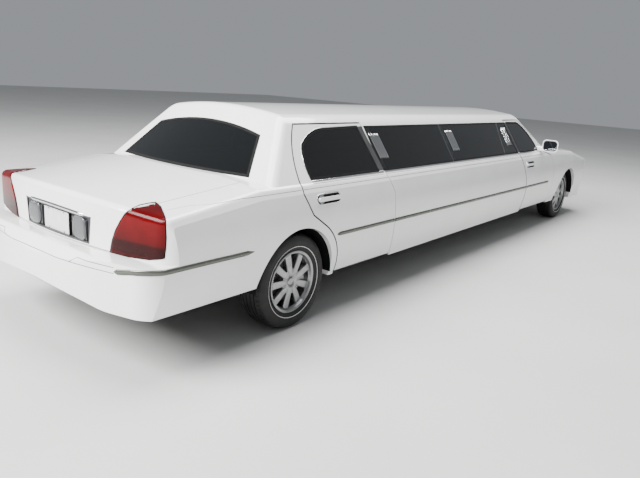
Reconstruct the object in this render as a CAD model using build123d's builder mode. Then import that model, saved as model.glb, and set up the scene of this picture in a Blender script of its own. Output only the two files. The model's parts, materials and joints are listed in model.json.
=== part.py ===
from build123d import *
import os
from math import atan2, cos, degrees, hypot, radians, sin, sqrt

os.makedirs("parts", exist_ok=True)

# Stretched saloon, in millimetres. +X forward, +Y to the car's left, +Z up.
# The origin is on the ground, halfway along the car.

# Overall length, axles and heights
LENGTH = 8519.0
REAR_OVERHANG = 1389.5
WHEELBASE = 6038.0
ROOF_Z = 1528.0
BELT_Z = 985.0
SILL_Z = BELT_Z + 60
RAIL_Z = ROOF_Z - 108
DECK_Z = SILL_Z + 55
REAR_X = -LENGTH / 2
FRONT_X = LENGTH / 2
REAR_AXLE_X = REAR_X + REAR_OVERHANG
FRONT_AXLE_X = REAR_AXLE_X + WHEELBASE

# Wheels and tyres
TYRE_R = 350.0
TYRE_WIDTH = 225.0
RIM_WIDTH = 200.0
RIM_LIP = 10.0
RIM_LIP_R = 229.0
BARREL_R = 210.0
BARREL_WALL = 12.0
HUB_R = 85.0
WHEEL_DISC = (30.0, 78.0)
SPOKES = 9
SLOT_R = (100.0, 182.0)
SLOT_WIDTH = (28.0, 68.0)
REAR_TRACK = 1660.0
FRONT_TRACK = 1594.0
SPINDLE_R = 30.0
BEARING_GAP = 0.05
ARCH_R = 402.0
LINER = 12.0

# Half widths of the lower body at named heights, and how far its shoulder leans in
ROCKER_Z = 325.0
ROCKER_Y = 930.0
FLANK_Z = 640.0
FLANK_Y = 993.0
BELT_Y = 958.0
SHOULDER_LEAN = 0.55
SILL_Y = BELT_Y - SHOULDER_LEAN * (SILL_Z - BELT_Z)
PLAN_Y = FLANK_Y + 22

# Greenhouse: its foot stands in from the sill, its ends slope and bow
FOOT_Y = SILL_Y - 13
RAIL_Y = 658.0
ROOF_EDGE_R = 165.0
ROOF_END_R = 90.0
ROOF_CROWN_R = 3760.0
BACKLIGHT_X = REAR_AXLE_X - 380
BACKLIGHT_RUN = 1.07
BACKLIGHT_R = 3000.0
SCREEN_X = FRONT_AXLE_X - 698
SCREEN_RUN = -1.50
SCREEN_R = 1650.0

# Walls, gaps and glass
SIDE_WALL = 110.0
TOP_WALL = 34.0
END_WALL = 60.0
ROOF_WALL = 40.0
GAP = 7.0
GLASS_OUT = 2.0
GLASS_IN = 8.0
RECESS = 5.0

# Upper surfaces: crown across the car, rounded shoulders, tail and nose seen from above
CROWN_R = 7900.0
SHOULDER_R = 50.0
END_EDGE_R = 40.0
TAIL_FACE_X = REAR_X + 151.5
TAIL_ARC_R = 3900.0
TAIL_CORNER_R = 160.0
NOSE_FACE_X = FRONT_X - 54.5
NOSE_ARC_R = 2400.0
NOSE_CORNER_R = 280.0
TOP_LINE = [
    # x, height on the centre line, height of the crease along the flank
    (REAR_X - 20, DECK_Z - 119, BELT_Z - 103),
    (REAR_AXLE_X - 370, DECK_Z, BELT_Z),
    (FRONT_AXLE_X - 668, DECK_Z, BELT_Z),
    (FRONT_AXLE_X + 132, DECK_Z - 54, BELT_Z - 40),
    (FRONT_X + 20, DECK_Z - 245, BELT_Z - 230),
]

# Bumpers
REAR_BUMPER_Z = (400.0, 700.0)
FRONT_BUMPER_Z = (270.0, 640.0)
REAR_BUMPER_ARC_R = 3096.0
REAR_BUMPER_CORNER_R = 220.0
FRONT_BUMPER_ARC_R = 2300.0
FRONT_BUMPER_CORNER_R = 330.0
BUMPER_WALL = 70.0
BUMPER_SHELF = 40.0
BUMPER_LAP = 25.0
BUMPER_EDGE_R = 30.0

# Body joints and openings
COWL_JOINT_X = FRONT_AXLE_X - 568
REAR_JOINT_X = REAR_AXLE_X + 870
FENDER_JOINT_X = FRONT_AXLE_X - 1368
NOSE_JOINT_X = NOSE_FACE_X - 255
NOSE_JOINT_Y = 390.0
ROOF_JOINT_Z = RAIL_Z - 40
HOOD_FOOT_Z = DECK_Z - 260
HOOD_CORNER_R = 120.0
TRUNK_CORNER_R = 60.0
HEADLAMP_Z = (668.0, 808.0)
HEADLAMP_Y = 410.0
GRILLE_Z = (655.0, 845.0)
GRILLE_Y = (300.0, 330.0)
GRILLE_RIM = 22.0
GRILLE_BARS = 16
GRILLE_SLOT = 20.0

# Doors and windows
DOOR_FOOT_Z = ROCKER_Z + 10
DOOR_TOP_Z = RAIL_Z + 5
DOOR_ARCH_R = ARCH_R + 66
CUT_SLANT = 0.36
WINDOW_SILL_Z = SILL_Z + 13
WINDOW_HEAD_Z = RAIL_Z - 16
PILLAR_WIDTH = 70.0
MID_PILLAR_X = REAR_AXLE_X + 2430
HANDLE_LENGTH = 250.0
HANDLE_HEIGHT = 28.0
HANDLE_STAND = 16.0
MIRROR_SIZE = (195.0, 150.0)
MIRROR_DEPTH = 110.0

# Licence plate and its housing on the trunk lid
PLATE_WIDTH = 305.0
PLATE_HEIGHT = 152.0
PLATE_Z = 790.0
PLATE_PAD = 14.0
PLATE_HOLES = (177.8, 120.65)
PLATE_HOLE_R = 3.2
HOUSING_Z = (712.0, 881.0)
HOUSING_Y = (363.0, 385.0)
HOUSING_DEPTH = 30.0
HOUSING_RIM = 12.0

# Ladder frame
FRAME_FOOT_Z = 205.0
RAIL_HEIGHT = 100.0
RAIL_INNER_Y = 485.0
RAIL_WIDTH = 70.0
FRONT_RAIL_INNER_Y = 390.0
FRONT_RAIL_X = FRONT_AXLE_X - 708
CROSS_HEIGHT = 23.0
CROSS_WIDTH = 90.0
KICK_Z = 440.0
TAIL_RAIL_Z = (340.0, 410.0)

# Floor, firewall and wheelhouses
FLOOR_SKIN = 20.0
PANEL_SKIN = 22.0
INNER_SILL = (70.0, 90.0)
SEAM = 1.0
FIREWALL_X = FRONT_AXLE_X - 715
FIREWALL_Y = 780.0
HOOD_SEAT = 12.0
REAR_HOUSE_Y = 600.0
FRONT_HOUSE_Y = 505.0
AXLE_TRAVEL = 60.0

# Engine, driveline and exhaust
ENGINE_X = (FRONT_AXLE_X - 468, FRONT_AXLE_X + 162)
ENGINE_Y = 270.0
ENGINE_TOP_Z = 800.0
TUBE_R = 42.0
DIFF_R = 125.0
SHAFT_R = 30.0
SHAFT_Z = 262.0
PIPE_R = 26.0
PIPE_Y = 250.0
PIPE_Z = 270.0
PIPE_BEND_R = 110.0
MUFFLER = (400.0, 160.0, 88.0)
FLANGE_R = PIPE_R + 8
FLANGE_PAIR = 17.0

# Front suspension and steering
KING_PIN_Y = FRONT_TRACK / 2 - 20
PIN_R = 14.0
EYE_R = 30.0
UPRIGHT_Z = (255.0, 445.0)
ARM_THICK = 24.0
ARM_GAP = 6.0
STEERING_WHEEL_R = 185.0
STEERING_RING_R = 15.0


def glass_z(share):
    """Height at a share of the way from the sill up to the roof rail."""
    return SILL_Z + share * (RAIL_Z - SILL_Z)


def arch_point(angle):
    """Point on the curve that the rear door follows around the wheel arch, ahead of the axle."""
    return (DOOR_ARCH_R * cos(radians(angle)), TYRE_R + DOOR_ARCH_R * sin(radians(angle)))


# Outlines on the body's side. Columns: x ahead of the axle, height, point of an arc from the row before
REAR_DOOR = [
    (1052, DOOR_TOP_Z, None),
    (220, DOOR_TOP_Z, None),
    (34, SILL_Z - 15, (95, glass_z(0.55))),
    (30, BELT_Z, None),
    (118, BELT_Z - 153, None),
    (*arch_point(58), None),
    (*arch_point(0), arch_point(28)),
    (DOOR_ARCH_R, DOOR_FOOT_Z, None),
    (1260, DOOR_FOOT_Z, None),
    (1212, FLANK_Z, None),
    (1195, BELT_Z - 100, None),
    (1103, SILL_Z + 7, None),
]
REAR_DOOR_WINDOW = [
    (1042, WINDOW_SILL_Z, None),
    (1002, WINDOW_HEAD_Z, None),
    (520, WINDOW_HEAD_Z - 10, None),
    (217, glass_z(0.65), (330, glass_z(0.81))),
    (162, WINDOW_SILL_Z, (170, glass_z(0.38))),
]
FRONT_DOOR = [
    (-1935, DOOR_TOP_Z, None),
    (-1927, SILL_Z - 7, None),
    (-1849, BELT_Z - 80, None),
    (-1761, BELT_Z - 232, None),
    (-1703, FLANK_Z - 42, None),
    (-1688, DOOR_FOOT_Z, None),
    (-698, DOOR_FOOT_Z, None),
    (-708, FLANK_Z, None),
    (-748, BELT_Z - 135, None),
    (-838, BELT_Z, None),
    (-1120, SILL_Z + 7, None),
    (-1508, DOOR_TOP_Z, (-1238, glass_z(0.5))),
]
FRONT_DOOR_WINDOW = [
    (-1878, WINDOW_HEAD_Z, None),
    (-1878, WINDOW_SILL_Z, None),
    (-1223, WINDOW_SILL_Z, None),
    (-1528, WINDOW_HEAD_Z - 4, (-1300, glass_z(0.52))),
]
DOORS = [
    # name, axle it is measured from, outline, window, middle of the handle as x and height
    ("rear", REAR_AXLE_X, REAR_DOOR, REAR_DOOR_WINDOW, (299, BELT_Z - 55)),
    ("front", FRONT_AXLE_X, FRONT_DOOR, FRONT_DOOR_WINDOW, (-1640, BELT_Z - 73)),
]
SIDES = [("left", 1), ("right", -1)]


def circle_through(a, b, c):
    """Centre and radius of the circle through three points."""
    (ax, ay), (bx, by), (cx, cy) = a, b, c
    twist = 2 * (ax * (by - cy) + bx * (cy - ay) + cx * (ay - by))
    a2, b2, c2 = ax**2 + ay**2, bx**2 + by**2, cx**2 + cy**2
    x = (a2 * (by - cy) + b2 * (cy - ay) + c2 * (ay - by)) / twist
    y = (a2 * (cx - bx) + b2 * (ax - cx) + c2 * (bx - ax)) / twist
    return x, y, hypot(ax - x, ay - y)


FLANK_ARC = circle_through((ROCKER_Y, ROCKER_Z), (FLANK_Y, FLANK_Z), (BELT_Y, BELT_Z))


def flank_y(z):
    """Half width on the arc of the flank."""
    y, middle_z, r = FLANK_ARC
    return y + sqrt(r * r - (z - middle_z) ** 2)


def side_y(z):
    """Half width of the body at height z."""
    if z < ROCKER_Z:
        return ROCKER_Y
    if z <= BELT_Z:
        return flank_y(z)
    if z <= SILL_Z:
        return BELT_Y - SHOULDER_LEAN * (z - BELT_Z)
    return max(RAIL_Y, SILL_Y - (SILL_Y - RAIL_Y) * (z - SILL_Z) / (RAIL_Z - SILL_Z))


def block(x, y, z):
    """Box between two values on each axis."""
    size = (x[1] - x[0], abs(y[1] - y[0]), z[1] - z[0])
    middle = ((x[0] + x[1]) / 2, (y[0] + y[1]) / 2, (z[0] + z[1]) / 2)
    with BuildPart() as solid:
        with Locations(middle):
            Box(*size)
    return solid.part


def across(x, z):
    """Box over the whole width of the car."""
    return block(x, (-PLAN_Y, PLAN_Y), z)


def body_section(crown_z, crease_z, side_in, bottom_z, round_r):
    """Section across the lower body: bowed flanks, leaning shoulders and a crowned top."""
    crease_y = flank_y(crease_z) - side_in
    reach = crease_y - SHOULDER_LEAN * (crown_z - crease_z)
    corner_y = CROWN_R / SHOULDER_LEAN * (1 - sqrt(1 - 2 * SHOULDER_LEAN * reach / CROWN_R))
    corner_z = crown_z - corner_y**2 / (2 * CROWN_R)
    bow_z = (ROCKER_Z + crease_z) / 2
    bow_y = flank_y(bow_z) - side_in
    foot_y = ROCKER_Y - side_in
    with BuildSketch() as section:
        with BuildLine():
            ThreePointArc((foot_y, ROCKER_Z), (bow_y, bow_z), (crease_y, crease_z))
            Line((crease_y, crease_z), (corner_y, corner_z))
            ThreePointArc((corner_y, corner_z), (0, crown_z), (-corner_y, corner_z))
            Line((-corner_y, corner_z), (-crease_y, crease_z))
            ThreePointArc((-crease_y, crease_z), (-bow_y, bow_z), (-foot_y, ROCKER_Z))
            Polyline((-foot_y, ROCKER_Z), (-foot_y, bottom_z), (foot_y, bottom_z), (foot_y, ROCKER_Z))
        make_face()
        fillet(section.vertices().sort_by(Axis.Y)[-2:], round_r)
    return section.sketch


def bowed_plan(rear, front, half):
    """Outline from above; rear and front hold an end's x, its arc radius and its corner radius."""
    rear_x, rear_r, rear_corner = rear
    front_x, front_r, front_corner = front
    rear_edge = rear_x + half * half / (2 * rear_r)
    front_edge = front_x - half * half / (2 * front_r)
    with BuildSketch() as plan:
        with BuildLine():
            ThreePointArc((rear_edge, half), (rear_x, 0), (rear_edge, -half))
            Line((rear_edge, -half), (front_edge, -half))
            ThreePointArc((front_edge, -half), (front_x, 0), (front_edge, half))
            Line((front_edge, half), (rear_edge, half))
        make_face()
        fillet(plan.vertices().sort_by(Axis.X)[:2], rear_corner)
        fillet(plan.vertices().sort_by(Axis.X)[-2:], front_corner)
    return plan.sketch


def lower_mass(side_in, top_in, end_in, bottom_z, round_r):
    """Body below the windows; the inside of its walls when moved in."""
    with BuildPart() as mass:
        for x, crown_z, crease_z in TOP_LINE:
            with BuildSketch(Plane.YZ.offset(x)):
                add(body_section(crown_z - top_in, crease_z - top_in, side_in, bottom_z, round_r))
        loft(ruled=True)
        with BuildSketch(Plane.XY):
            add(
                bowed_plan(
                    (TAIL_FACE_X + end_in, TAIL_ARC_R, TAIL_CORNER_R - end_in),
                    (NOSE_FACE_X - end_in, NOSE_ARC_R, NOSE_CORNER_R - end_in),
                    PLAN_Y - side_in,
                )
            )
        extrude(amount=ROOF_Z, mode=Mode.INTERSECT)
    return mass.part


def greenhouse_mass(inset, bottom_z):
    """Roof and windows, moved in by an inset; the sides slope in, the ends slope and bow."""
    lean = (FOOT_Y - RAIL_Y) / (RAIL_Z - SILL_Z)
    side_shift = inset * hypot(1, lean)
    top_z = ROOF_Z + 40
    foot_y = FOOT_Y - side_shift + lean * (SILL_Z - bottom_z)
    head_y = FOOT_Y - side_shift - lean * (top_z - SILL_Z)
    rear_x = BACKLIGHT_X + inset * hypot(1, BACKLIGHT_RUN) - BACKLIGHT_RUN * (SILL_Z - bottom_z)
    front_x = SCREEN_X - inset * hypot(1, SCREEN_RUN) - SCREEN_RUN * (SILL_Z - bottom_z)
    crown_z = ROOF_Z - inset
    drop = PLAN_Y**2 / (2 * ROOF_CROWN_R)
    ends = [
        # rear and front edge of the plan, and how far it runs forward for each mm of height
        ((rear_x, BACKLIGHT_R, ROOF_END_R), (FRONT_X, NOSE_ARC_R, ROOF_END_R), BACKLIGHT_RUN),
        ((REAR_X, BACKLIGHT_R, ROOF_END_R), (front_x, SCREEN_R, ROOF_END_R), SCREEN_RUN),
    ]
    with BuildPart() as mass:
        with BuildSketch(Plane.YZ.offset(REAR_X)) as section:
            with BuildLine():
                Polyline((-foot_y, bottom_z), (foot_y, bottom_z), (head_y, top_z), (-head_y, top_z))
                Line((-head_y, top_z), (-foot_y, bottom_z))
            make_face()
            with BuildLine():
                ThreePointArc((-PLAN_Y, crown_z - drop), (0, crown_z), (PLAN_Y, crown_z - drop))
                Polyline((PLAN_Y, crown_z - drop), (PLAN_Y, 0), (-PLAN_Y, 0), (-PLAN_Y, crown_z - drop))
            make_face(mode=Mode.INTERSECT)
            fillet(section.vertices().sort_by(Axis.Y)[-2:], ROOF_EDGE_R - inset)
        extrude(amount=LENGTH)
        for rear, front, run in ends:
            with BuildSketch(Plane.XY.offset(bottom_z)):
                add(bowed_plan(rear, front, PLAN_Y))
            rise = Vector(run, 0, 1)
            extrude(amount=(top_z - bottom_z) * rise.length, dir=rise.normalized(), mode=Mode.INTERSECT)
        headers = mass.edges().filter_by(lambda edge: edge.bounding_box().size.Y > RAIL_Y / 2)
        fillet(headers.sort_by(Axis.Z)[-2:], ROOF_END_R - inset)
    return mass.part


def side_prism(rows, axle_x, side, grow=0.0, foot_z=None):
    """Slanted prism through one flank from an outline's rows; side is 1 for the left."""
    plane_y = FLANK_Y + 16

    def on_plane(x, z):
        return (axle_x + x - CUT_SLANT * (plane_y - side_y(z)), z)

    run = Vector(CUT_SLANT, -side, 0)
    with BuildPart() as prism:
        with BuildSketch(Plane.XZ.offset(-side * plane_y)):
            with BuildLine():
                for before, row in zip(rows[-1:] + rows[:-1], rows):
                    start = on_plane(*before[:2])
                    end = on_plane(*row[:2])
                    if row[2]:
                        ThreePointArc(start, on_plane(*row[2]), end)
                    else:
                        Line(start, end)
            make_face()
            if grow:
                offset(amount=grow, kind=Kind.INTERSECTION)
            if foot_z is not None:
                feet = [on_plane(x, z)[0] for x, z, bulge in rows if z == DOOR_FOOT_Z]
                with Locations((sum(feet) / 2, (DOOR_FOOT_Z + foot_z) / 2)):
                    Rectangle(max(feet) - min(feet) + 2 * grow, DOOR_FOOT_Z - foot_z)
        extrude(amount=480 * run.length, dir=run.normalized())
        with BuildSketch(Plane.YZ.offset(REAR_X)):
            with BuildLine():
                Polyline(
                    (side * PLAN_Y, 100),
                    (side * (ROCKER_Y - SIDE_WALL - 15), 100),
                    (side * (ROCKER_Y - SIDE_WALL - 15), SILL_Z - 30),
                    (side * (FOOT_Y - ROOF_WALL - 40), SILL_Z),
                    (side * (RAIL_Y - ROOF_WALL - 75), RAIL_Z + 40),
                    (side * PLAN_Y, RAIL_Z + 40),
                    close=True,
                )
            make_face()
        extrude(amount=LENGTH, mode=Mode.INTERSECT)
    return prism.part


def end_prism(x, corners, bulge=None, mirrored=False, grow=0.0):
    """Prism along the car from y and z corners; bulge bends the side from the first to the second."""
    with BuildPart() as prism:
        with BuildSketch(Plane.YZ.offset(x[0])):
            with BuildLine():
                if bulge:
                    ThreePointArc(corners[0], bulge, corners[1])
                else:
                    Line(corners[0], corners[1])
                Polyline(*corners[1:], corners[0])
            make_face()
            if mirrored:
                mirror(about=Plane.YZ)
            if grow:
                offset(amount=grow, kind=Kind.INTERSECTION)
        extrude(amount=x[1] - x[0])
    return prism.part


def lid_prism(rear, front, z, corner_r, grow):
    """Upright prism for a lid; rear and front hold an edge's x at its middle and ends, and half width."""
    with BuildPart() as prism:
        with BuildSketch(Plane.XY.offset(z[0] - grow)) as plan:
            with BuildLine():
                corners = []
                for (middle_x, end_x, half), outward in ((rear, -grow), (front, grow)):
                    corner = (end_x + outward, half + grow)
                    ThreePointArc(corner, (middle_x + outward, 0), (corner[0], -corner[1]))
                    corners.append(corner)
                Line(*corners)
                Line(*[(x, -y) for x, y in corners])
            make_face()
            fillet(plan.vertices().sort_by(Axis.X)[-2:], corner_r + grow)
        extrude(amount=z[1] - z[0] + grow)
    return prism.part


# Body shell: outer forms less the inside of their walls
glass_foot_z = SILL_Z - 25
lower_body = lower_mass(0, 0, 0, ROCKER_Z - 10, SHOULDER_R)
with BuildPart() as outer_low:
    add(lower_body)
    rims = outer_low.edges().filter_by(lambda edge: edge.bounding_box().min.Z > BELT_Z - 300)
    rims = rims.filter_by(lambda edge: edge.bounding_box().size.Y > RAIL_Y).sort_by(Axis.X)
    fillet([rims[0], rims[-1]], END_EDGE_R)
inner_low = lower_mass(SIDE_WALL, TOP_WALL, END_WALL, ROCKER_Z - 50, SHOULDER_R / 3)

with BuildPart() as shell:
    add(outer_low.part)
    add(greenhouse_mass(0, glass_foot_z))
    add(inner_low, mode=Mode.SUBTRACT)
    add(greenhouse_mass(ROOF_WALL, glass_foot_z - 5), mode=Mode.SUBTRACT)

with BuildPart() as lamp_shell:
    add(outer_low.part)
    add(inner_low, mode=Mode.SUBTRACT)

glass_inner = greenhouse_mass(GLASS_IN, glass_foot_z)
with BuildPart() as glass_shell:
    add(greenhouse_mass(GLASS_OUT, glass_foot_z))
    add(glass_inner, mode=Mode.SUBTRACT)

with BuildPart() as side_recess:
    add(greenhouse_mass(-RECESS, glass_foot_z))
    add(glass_inner, mode=Mode.SUBTRACT)
    add(
        across((REAR_AXLE_X + 1090, FRONT_AXLE_X - 1918), (WINDOW_SILL_Z, WINDOW_HEAD_Z)),
        mode=Mode.INTERSECT,
    )

# Tools that cut the shell into panels, doors, lids and lamps
door_gaps = {}
door_solids = {}
for door, axle_x, rows, window, handle in DOORS:
    for side_name, side in SIDES:
        door_gaps[door, side_name] = side_prism(rows, axle_x, side, GAP, ROCKER_Z - 125)
        door_solids[door, side_name] = side_prism(rows, axle_x, side)

with BuildPart() as arches:
    for axle_x in (REAR_AXLE_X, FRONT_AXLE_X):
        for side in (1, -1):
            with BuildSketch(Plane.XZ.offset(-side * PLAN_Y)):
                with Locations((axle_x, TYRE_R)):
                    Circle(ARCH_R)
            extrude(amount=side * 560)


def lamp_prism(grow):
    """Where the tail lamps lie: outboard of their inner curve, behind their front edge."""
    rear_x = TAIL_FACE_X - 112
    front_x = TAIL_FACE_X + 133
    foot_z = REAR_BUMPER_Z[1]
    top_z = BELT_Z + 27
    with BuildPart() as reach:
        with BuildSketch(Plane.XZ):
            with BuildLine():
                Polyline(
                    (rear_x, foot_z),
                    (front_x, foot_z),
                    (front_x, BELT_Z - 55),
                    (front_x + 125, top_z),
                    (rear_x, top_z),
                    close=True,
                )
            make_face()
            if grow:
                offset(amount=grow, kind=Kind.INTERSECTION)
        extrude(amount=PLAN_Y, both=True)
        add(
            end_prism(
                (REAR_X, REAR_AXLE_X),
                [(550, foot_z), (730, top_z), (PLAN_Y, top_z), (PLAN_Y, foot_z)],
                bulge=(600, foot_z + 140),
                mirrored=True,
                grow=grow,
            ),
            mode=Mode.INTERSECT,
        )
    return reach.part


lamp_tool = lamp_prism(0)
backlight_tool = end_prism(
    (REAR_X, REAR_AXLE_X + 300),
    [(-560, glass_z(0.8)), (560, glass_z(0.8)), (708, DECK_Z - 16), (-708, DECK_Z - 16)],
    bulge=(0, WINDOW_HEAD_Z + 8),
)
screen_tool = end_prism(
    (FENDER_JOINT_X - 400, FRONT_X),
    [(-585, RAIL_Z), (585, RAIL_Z), (815, DECK_Z - 10), (-815, DECK_Z - 10)],
    bulge=(0, RAIL_Z + 42),
)
headlamp_tool = end_prism(
    (NOSE_FACE_X - 245, FRONT_X),
    [
        (PLAN_Y, HEADLAMP_Z[0] + 22),
        (HEADLAMP_Y, HEADLAMP_Z[0]),
        (HEADLAMP_Y + 30, HEADLAMP_Z[1]),
        (PLAN_Y, HEADLAMP_Z[1]),
    ],
    mirrored=True,
)
grille_tool = end_prism(
    (NOSE_FACE_X - 105, FRONT_X),
    [
        (-GRILLE_Y[0], GRILLE_Z[0]),
        (GRILLE_Y[0], GRILLE_Z[0]),
        (GRILLE_Y[1], GRILLE_Z[1]),
        (-GRILLE_Y[1], GRILLE_Z[1]),
    ],
)


def hood_prism(grow):
    """Where the hood lies, from the cowl to just behind the nose."""
    rear = (FRONT_AXLE_X - 593, FRONT_AXLE_X - 763, 770)
    front = (NOSE_FACE_X - 57, NOSE_FACE_X - 150, 700)
    return lid_prism(rear, front, (HOOD_FOOT_Z, DECK_Z + 100), HOOD_CORNER_R, grow)


def trunk_prism(grow):
    """Where the trunk lid lies, from the rear window down to the bumper."""
    rear = (REAR_X - 60, REAR_X, 700)
    front = (REAR_AXLE_X - 430, REAR_AXLE_X - 315, 735)
    return lid_prism(rear, front, (REAR_BUMPER_Z[1] + GAP, DECK_Z + 100), TRUNK_CORNER_R, grow)


# Body in white, then its panels
with BuildPart() as body:
    add(shell.part)
    for gap in door_gaps.values():
        add(gap, mode=Mode.SUBTRACT)
    add(arches.part, mode=Mode.SUBTRACT)
    add(hood_prism(GAP), mode=Mode.SUBTRACT)
    add(trunk_prism(GAP), mode=Mode.SUBTRACT)
    add(lamp_tool, mode=Mode.SUBTRACT)
    add(headlamp_tool, mode=Mode.SUBTRACT)
    add(grille_tool, mode=Mode.SUBTRACT)
    add(backlight_tool, mode=Mode.SUBTRACT)
    add(screen_tool, mode=Mode.SUBTRACT)
    add(across((REAR_X, REAR_AXLE_X), (0, REAR_BUMPER_Z[1])), mode=Mode.SUBTRACT)
    add(across((FRONT_AXLE_X, FRONT_X), (0, FRONT_BUMPER_Z[1])), mode=Mode.SUBTRACT)
    add(side_recess.part, mode=Mode.SUBTRACT)
    for start_x, end_x in (
        (REAR_AXLE_X + 1170, MID_PILLAR_X - PILLAR_WIDTH / 2),
        (MID_PILLAR_X + PILLAR_WIDTH / 2, FRONT_AXLE_X - 2008),
    ):
        add(across((start_x, end_x), (WINDOW_SILL_Z, WINDOW_HEAD_Z)), mode=Mode.SUBTRACT)

with BuildPart() as roof_region:
    with BuildSketch(Plane.XZ):
        with BuildLine():
            Polyline(
                (BACKLIGHT_X - 50, RAIL_Z - 75),
                (REAR_AXLE_X - 35, RAIL_Z - 75),
                (REAR_AXLE_X + 20, ROOF_JOINT_Z),
                (SCREEN_X + 50, ROOF_JOINT_Z),
                (SCREEN_X + 50, ROOF_Z + 50),
                (BACKLIGHT_X - 50, ROOF_Z + 50),
                close=True,
            )
        make_face()
    extrude(amount=PLAN_Y, both=True)

cowl_region = block((FENDER_JOINT_X - 300, COWL_JOINT_X), (-FOOT_Y - 20, FOOT_Y + 20), (SILL_Z - 5, ROOF_Z))
nose_region = block((NOSE_JOINT_X, FRONT_X), (-NOSE_JOINT_Y, NOSE_JOINT_Y), (0, ROOF_Z))
PANELS = [
    # name, region, each taken from what the rows before it leave
    ("roof_panel", roof_region.part),
    ("quarter_panels", across((REAR_X, REAR_JOINT_X), (0, ROOF_Z))),
    ("windshield_frame", cowl_region),
    ("side_panels", across((REAR_JOINT_X, FENDER_JOINT_X), (0, ROOF_Z))),
    ("nose_panel", nose_region),
    ("front_fenders", across((FENDER_JOINT_X, FRONT_X), (0, ROOF_Z))),
]
parts = {}
left_over = body.part
for name, region in PANELS:
    with BuildPart() as panel:
        add(left_over)
        add(region, mode=Mode.INTERSECT)
    parts[name] = panel.part
    with BuildPart() as rest:
        add(left_over)
        add(region, mode=Mode.SUBTRACT)
    left_over = rest.part


# The shelf under the rear window carries both quarter panels
with BuildPart() as shelf:
    add(across((REAR_AXLE_X - 310, REAR_AXLE_X + 10), (SILL_Z - 45, SILL_Z - 25)))
    add(inner_low, mode=Mode.INTERSECT)
with BuildPart() as quarters:
    add(parts["quarter_panels"])
    add(shelf.part)
parts["quarter_panels"] = quarters.part

# Doors: shell inside each outline, with a framed window, its pane and an outer handle
for door, axle_x, rows, window, (handle_x, handle_z) in DOORS:
    for side_name, side in SIDES:
        window_tool = side_prism(window, axle_x, side)
        handle_y = flank_y(handle_z)
        with BuildPart() as solid:
            add(shell.part)
            add(door_solids[door, side_name], mode=Mode.INTERSECT)
            add(arches.part, mode=Mode.SUBTRACT)
            add(window_tool, mode=Mode.SUBTRACT)
            with BuildSketch(Plane.XZ.offset(-side * (handle_y - HANDLE_STAND))):
                with Locations((axle_x + handle_x, handle_z)):
                    RectangleRounded(HANDLE_LENGTH, HANDLE_HEIGHT, HANDLE_HEIGHT / 2 - 1)
            extrude(amount=-side * 2 * HANDLE_STAND)
        parts[f"door_{door}_{side_name}"] = solid.part
        with BuildPart() as pane:
            add(glass_shell.part)
            add(window_tool, mode=Mode.INTERSECT)
        parts[f"door_glass_{door}_{side_name}"] = pane.part

# Door mirrors: a tapered housing on an arm from the corner of the front door
mirror_x = FRONT_AXLE_X - 1268
mirror_y = FLANK_Y + 67
mirror_z = SILL_Z + 90
for side_name, side in SIDES:
    with BuildPart() as with_mirror:
        add(parts[f"door_front_{side_name}"])
        with BuildSketch(Plane.YZ.offset(mirror_x)):
            with Locations((side * mirror_y, mirror_z)):
                RectangleRounded(*MIRROR_SIZE, 45)
        extrude(amount=MIRROR_DEPTH, taper=12)
        with BuildSketch(Plane.XZ.offset(-side * (SILL_Y - 45))):
            with Locations((mirror_x + 85, mirror_z - 50)):
                RectangleRounded(90, 60, 15)
        extrude(amount=-side * 130)
        add(parts[f"door_glass_front_{side_name}"], mode=Mode.SUBTRACT)
    parts[f"door_front_{side_name}"] = with_mirror.part

with BuildPart() as hood:
    add(shell.part)
    add(hood_prism(0), mode=Mode.INTERSECT)
parts["hood"] = hood.part

# Licence plate housing: a framed recess in the trunk lid, with the plate's pad between two lamps
housing_corners = [
    (-HOUSING_Y[0], HOUSING_Z[0]),
    (HOUSING_Y[0], HOUSING_Z[0]),
    (HOUSING_Y[1], HOUSING_Z[1]),
    (-HOUSING_Y[1], HOUSING_Z[1]),
]
housing_floor_x = TAIL_FACE_X + HOUSING_DEPTH
housing_tool = end_prism((REAR_X, housing_floor_x), housing_corners)
with BuildPart() as trunk_lid:
    add(shell.part)
    add(trunk_prism(0), mode=Mode.INTERSECT)
    add(lamp_prism(GAP), mode=Mode.SUBTRACT)
    add(housing_tool, mode=Mode.SUBTRACT)
parts["trunk_lid"] = trunk_lid.part

with BuildPart() as plate_housing:
    add(lower_body)
    add(housing_tool, mode=Mode.INTERSECT)
    add(
        end_prism((REAR_X, housing_floor_x - HOUSING_RIM / 2), housing_corners, grow=-HOUSING_RIM),
        mode=Mode.SUBTRACT,
    )
    pad_x = (housing_floor_x - PLATE_PAD, housing_floor_x)
    pad_z = (PLATE_Z - PLATE_HEIGHT / 2, PLATE_Z + PLATE_HEIGHT / 2)
    add(block(pad_x, (-PLATE_WIDTH / 2, PLATE_WIDTH / 2), pad_z))
    lamp_y = (PLATE_WIDTH / 2 + 25, HOUSING_Y[0] - 2 * HOUSING_RIM)
    for side in (1, -1):
        add(block(pad_x, (side * lamp_y[0], side * lamp_y[1]), (pad_z[0] + 15, pad_z[1] - 15)))
    with Locations(Plane((pad_x[0], 0, PLATE_Z), x_dir=(0, 1, 0), z_dir=(-1, 0, 0))):
        with GridLocations(*PLATE_HOLES, 2, 2):
            Hole(PLATE_HOLE_R, PLATE_PAD)
parts["plate_housing"] = plate_housing.part

for name, tool in (("tail_lamps", lamp_tool), ("headlamps", headlamp_tool)):
    with BuildPart() as lamps:
        add(lamp_shell.part)
        add(tool, mode=Mode.INTERSECT)
    parts[name] = lamps.part

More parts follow.
